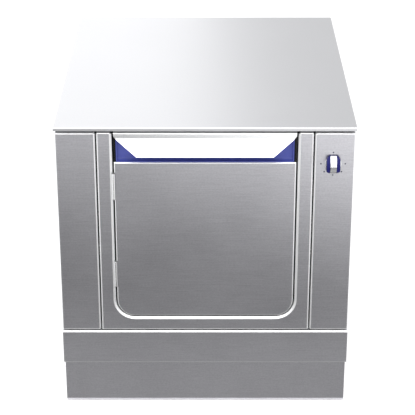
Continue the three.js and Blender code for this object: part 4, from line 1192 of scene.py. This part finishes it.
low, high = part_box("door_liner")
liner = refined("door_liner", "door_liner_plate", 0.0003)
pillow = block(
    "pillow",
    (low.x + PILLOW_INSET[0], high.y - 0.0005, low.z + PILLOW_INSET[1]),
    (high.x - PILLOW_INSET[0], high.y + PILLOW_RISE, high.z - PILLOW_INSET[2]),
)
edit(pillow)
pick("EDGE", lambda edge: near(middle(edge).y, (2 * high.y + PILLOW_RISE - 0.0005) / 2))
bpy.ops.mesh.bevel(offset=0.030, segments=8, profile=0.5)
pick("EDGE", lambda edge: all(near(vert.co.y, high.y + PILLOW_RISE) for vert in edge.verts))
bpy.ops.mesh.bevel(offset=0.0032, segments=4, profile=0.5)
done()
joined(liner, pillow)
hand_over(liner, "door", stainless_upright, ["door_liner"])
screw_x = high.x - 0.030
rows = [low.z + 0.035, (low.z + high.z) / 2 - 0.03, high.z - 0.100]
screw_places = [(side * screw_x, high.y, z) for side in (-1, 1) for z in rows]
screw_places += [(0, high.y, rows[0]), (0, high.y, rows[-1])]
heads = placed_copies(pan_head((0, 1, 0)), screw_places)
joined(*heads)
heads[0].name = "door_liner_screws"
hand_over(heads[0], "door", stainless_bright, [])
refinish("door_gasket", "door_gasket_ring", "door", rubber, 0.0021, 4)

# ---- Magnet, interlock and switches ----
# Black moulded housings. The interlock's steel plunger is pushed in by the closed door, and the selector's
# switch sits behind the control panel.

for node in ("catch_magnet", "interlock_switch", "selector_switch"):
    refinish(node, f"{node}_housing", "cabinet", black_plastic, 0.0009, 3)
plunger_low, plunger_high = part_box("interlock_plunger")
plunger_x, plunger_z = (plunger_low.x + plunger_high.x) / 2, (plunger_low.z + plunger_high.z) / 2
plunger = rounded_bar(
    "interlock_plunger_pin",
    (plunger_high.x - plunger_low.x) / 2,
    (plunger_x, plunger_low.y, plunger_z),
    (plunger_x, plunger_high.y, plunger_z),
    0.0011,
)
hand_over(plunger, "interlock_pin", stainless_bright, ["interlock_plunger"])

# ---- Bin ----
# A welded stainless box with rounded corners and a rim rolled outwards, and a bent strap to pull it out
# by. It stands loose on the chamber's floor.

BIN_CORNER = 0.014
BIN_FOOT_FOLD = 0.006
BIN_RIM = 0.005
BIN_RIM_SHAPE = ((0, 0), (0.25, 0.0001), (0.72, 0.0006), (1.0, 0.0018), (1.0, 0.0045))

low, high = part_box("bin")
body_low = Vector((low.x + BIN_RIM, low.y + BIN_RIM, low.z + SHEET))
body_high = Vector((high.x - BIN_RIM, high.y - BIN_RIM, high.z))
bin_body = block("bin_box", body_low, body_high)
edit(bin_body)
pick("FACE", lambda face: face.normal.z > 0.9)
bpy.ops.mesh.delete(type="FACE")
pick("EDGE", lambda edge: not edge.is_boundary and near(middle(edge).z, (body_low.z + high.z) / 2))
bpy.ops.mesh.bevel(offset=BIN_CORNER, segments=6, profile=0.5)
pick("EDGE", lambda edge: all(near(vert.co.z, body_low.z) for vert in edge.verts))
bpy.ops.mesh.bevel(offset=BIN_FOOT_FOLD, segments=4, profile=0.5)
bin_middle = (body_low + body_high) / 2
half_x, half_y = (body_high.x - body_low.x) / 2, (body_high.y - body_low.y) / 2
pick("EDGE", lambda edge: edge.is_boundary)
for (inner, _), (outer, drop) in zip(BIN_RIM_SHAPE, BIN_RIM_SHAPE[1:]):
    growth = [(half + BIN_RIM * outer) / (half + BIN_RIM * inner) for half in (half_x, half_y)]
    bpy.ops.mesh.extrude_edges_move(TRANSFORM_OT_translate={"value": (0, 0, 0)})
    bpy.ops.transform.resize(value=(*growth, 1), center_override=(bin_middle.x, bin_middle.y, high.z))
    edge_shape = bmesh.from_edit_mesh(bin_body.data)
    for vert in edge_shape.verts:
        if vert.select:
            vert.co.z = high.z - drop
    bmesh.update_edit_mesh(bin_body.data)
bpy.ops.mesh.select_all(action="SELECT")
bpy.ops.mesh.normals_make_consistent(inside=False)
done()
wall(bin_body, SHEET)
hand_over(bin_body, "cabinet", stainless_upright, ["bin"])
refinish("bin_handle", "bin_pull", "cabinet", stainless_bright, 0.0015, 3)

# ---- Ram ----
# A stainless plate and wrapper, screwed under a painted box beam that reaches through slots in the
# chamber's walls to a flanged bronze nut at each end.

for node, softening in (("ram_plate", 0.0014), ("ram_wrapper", 0.0005)):
    refinish(node, f"{node}_sheet", "ram", stainless_across, softening, 3)
painted = moulded_plastic("grey_machine_paint", (0.15, 0.16, 0.18, 1), (0.12, 0.13, 0.15, 1), 0.45)
bronze = plated_steel("bearing_bronze", (0.62, 0.43, 0.20, 1), (0.50, 0.34, 0.15, 1), 0.4)
refinish("ram_beam", "ram_beam_box", "ram", painted, 0.0014, 3)


def bolt_circle(x, y, radius):
    """Four places for bolts, on the diagonals round a centre."""
    turns = [math.radians(angle) for angle in (45, 135, 225, 315)]
    return [(x + radius * math.cos(turn), y + radius * math.sin(turn), 0) for turn in turns]


for name in ("left", "right"):
    node = f"ram_nut_{name}"
    low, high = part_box(node)
    centre = ((low.x + high.x) / 2, (low.y + high.y) / 2, 0)
    nut = turned(
        f"{node}_flanged",
        centre,
        rounded_profile(
            [
                (0.0103, high.z), (0.0103, low.z), (0.025, low.z), (0.025, low.z + 0.006),
                (0.017, low.z + 0.006), (0.017, high.z), (0.0103, high.z),
            ],
            0.0008,
        ),
    )
    bolt = rounded_bar("bolt", 0.0033, (0, 0, low.z - 0.0028), (0, 0, low.z + 0.0002), 0.0005, 6)
    joined(nut, *placed_copies(bolt, bolt_circle(*centre[:2], 0.0208)))
    hand_over(nut, "ram", bronze, [node])

# ---- Screws and bearings ----
# Two four-start screws of plated steel that draw the ram down. They turn in flanged housings, bolted to
# the base's deck and under the crosshead.

SCREW_RADIUS = 0.010
SCREW_PITCH = 0.005
SCREW_STARTS = 4
JOURNAL_RADIUS = {"lower": 0.009, "upper": 0.008}

for name in ("left", "right"):
    node = f"screw_{name}"
    low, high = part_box(node)
    x, y = (low.x + high.x) / 2, (low.y + high.y) / 2
    thread_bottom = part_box(f"bearing_lower_{name}")[1].z + 0.003
    thread_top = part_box(f"bearing_upper_{name}")[0].z - 0.003
    screw = threaded_rod(
        f"{node}_threaded", (x, y), SCREW_RADIUS, thread_bottom, thread_top, SCREW_PITCH, 0.0016, SCREW_STARTS
    )
    journal_spans = {"lower": (low.z, thread_bottom + 0.001), "upper": (thread_top - 0.001, high.z)}
    journals = [
        rounded_bar("journal", JOURNAL_RADIUS[end], (x, y, bottom), (x, y, top), 0.0008)
        for end, (bottom, top) in journal_spans.items()
    ]
    joined(screw, *journals)
    hand_over(screw, f"{name}_screw", chrome, [node])
    for place, foot in (("lower", 1), ("upper", -1)):
        bearing_low, bearing_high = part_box(f"bearing_{place}_{name}")
        height = bearing_high.z - bearing_low.z
        bore = JOURNAL_RADIUS[place] + 0.0003
        housing = turned(
            f"bearing_{place}_{name}_housing",
            (x, y, bearing_low.z if foot > 0 else bearing_high.z),
            rounded_profile(
                [
                    (bore, height), (bore, 0), (0.032, 0), (0.032, 0.007), (0.0235, 0.009),
                    (0.0225, height), (bore, height),
                ],
                0.0012,
            ),
            (0, 0, foot),
        )
        face = bearing_low.z + 0.007 if foot > 0 else bearing_high.z - 0.007
        bolt_ends = (0, 0, face - foot * 0.0005), (0, 0, face + foot * 0.0035)
        bolt = rounded_bar("bolt", 0.004, *bolt_ends, 0.0005, 6)
        joined(housing, *placed_copies(bolt, bolt_circle(x, y, 0.0275)))
        hand_over(housing, "cabinet", painted, [f"bearing_{place}_{name}"])

# ---- Belt drive ----
# Flanged, toothed pulleys of plated steel under the base's deck, and one rubber belt, modelled with
# a smooth inner face, round the motor's pulley and both screws' pulleys.

TOOTH_PITCH = 0.0052
RIM = 0.002


def ring_of(made, count, centre):
    """Copies of a piece, evenly turned round an upright axis. The piece given is taken away."""
    ring = []
    for number in range(count):
        twin = made.copy()
        twin.data = made.data.copy()
        bpy.context.collection.objects.link(twin)
        twin.rotation_euler = (0, 0, math.tau * number / count)
        twin.location = centre
        deselect()
        twin.select_set(True)
        bpy.context.view_layer.objects.active = twin
        bpy.ops.object.transform_apply(location=True, rotation=True, scale=True)
        ring.append(twin)
    bpy.data.objects.remove(made)
    return ring


pulleys = {
    "screw_pulley_left": ("left_screw", 0.0093, None),
    "screw_pulley_right": ("right_screw", 0.0093, None),
    "motor_pulley": ("motor_rotor", 0, 0.008),
}
for node, (body, bore, shaft) in pulleys.items():
    low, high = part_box(node)
    x, y = (low.x + high.x) / 2, (low.y + high.y) / 2
    flange = (high.x - low.x) / 2
    bottom = low.z
    top = bottom + 0.026
    seat = flange - 0.005
    corners = [
        (bore, top), (bore, bottom), (flange, bottom), (flange, bottom + RIM),
        (seat - 0.0012, bottom + RIM), (seat - 0.0012, top - RIM), (flange, top - RIM), (flange, top),
        (bore, top),
    ]
    if not bore:
        corners = corners[1:-1] + [(shaft, top), (shaft, high.z), (0, high.z)]
    wheel = turned(f"{node}_toothed", (x, y, 0), rounded_profile(corners, 0.0004))
    teeth = round(math.tau * seat / TOOTH_PITCH)
    tooth = block("tooth", (seat - 0.0022, -0.0013, bottom + RIM), (seat - 0.0001, 0.0013, top - RIM))
    joined(wheel, *ring_of(tooth, teeth, (x, y, 0)))
    hand_over(wheel, body, chrome, [node])
refinish("drive_belt", "drive_belt_loop", "cabinet", rubber, 0.0007)

# ---- Motor ----
# A vertical gear motor with cast cooling fins round its housing and a pressed cap, bolted to the deck.

MOTOR_FINS = 28

low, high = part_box("motor")
x, y = (low.x + high.x) / 2, (low.y + high.y) / 2
motor_radius = (high.x - low.x) / 2
motor = turned(
    "motor_housing",
    (x, y, 0),
    rounded_profile(
        [
            (0, low.z + 0.040), (0.0083, low.z + 0.040), (0.0083, low.z), (motor_radius, low.z),
            (motor_radius, low.z + 0.012), (motor_radius - 0.009, low.z + 0.016),
            (motor_radius - 0.009, high.z - 0.045), (motor_radius - 0.0005, high.z - 0.042),
            (motor_radius - 0.0005, high.z - 0.015), (motor_radius - 0.010, high.z), (0, high.z),
        ],
        0.0025,
    ),
)
fin = block(
    "fin", (motor_radius - 0.011, -0.0011, low.z + 0.016), (motor_radius - 0.0008, 0.0011, high.z - 0.044)
)
joined(motor, *ring_of(fin, MOTOR_FINS, (x, y, 0)))
hand_over(motor, "cabinet", painted, ["motor"])

# ---- Control box ----
# A painted steel box for the contactors, screwed inside the right side panel.

refinish("control_box", "control_box_case", "cabinet", painted, 0.0004)
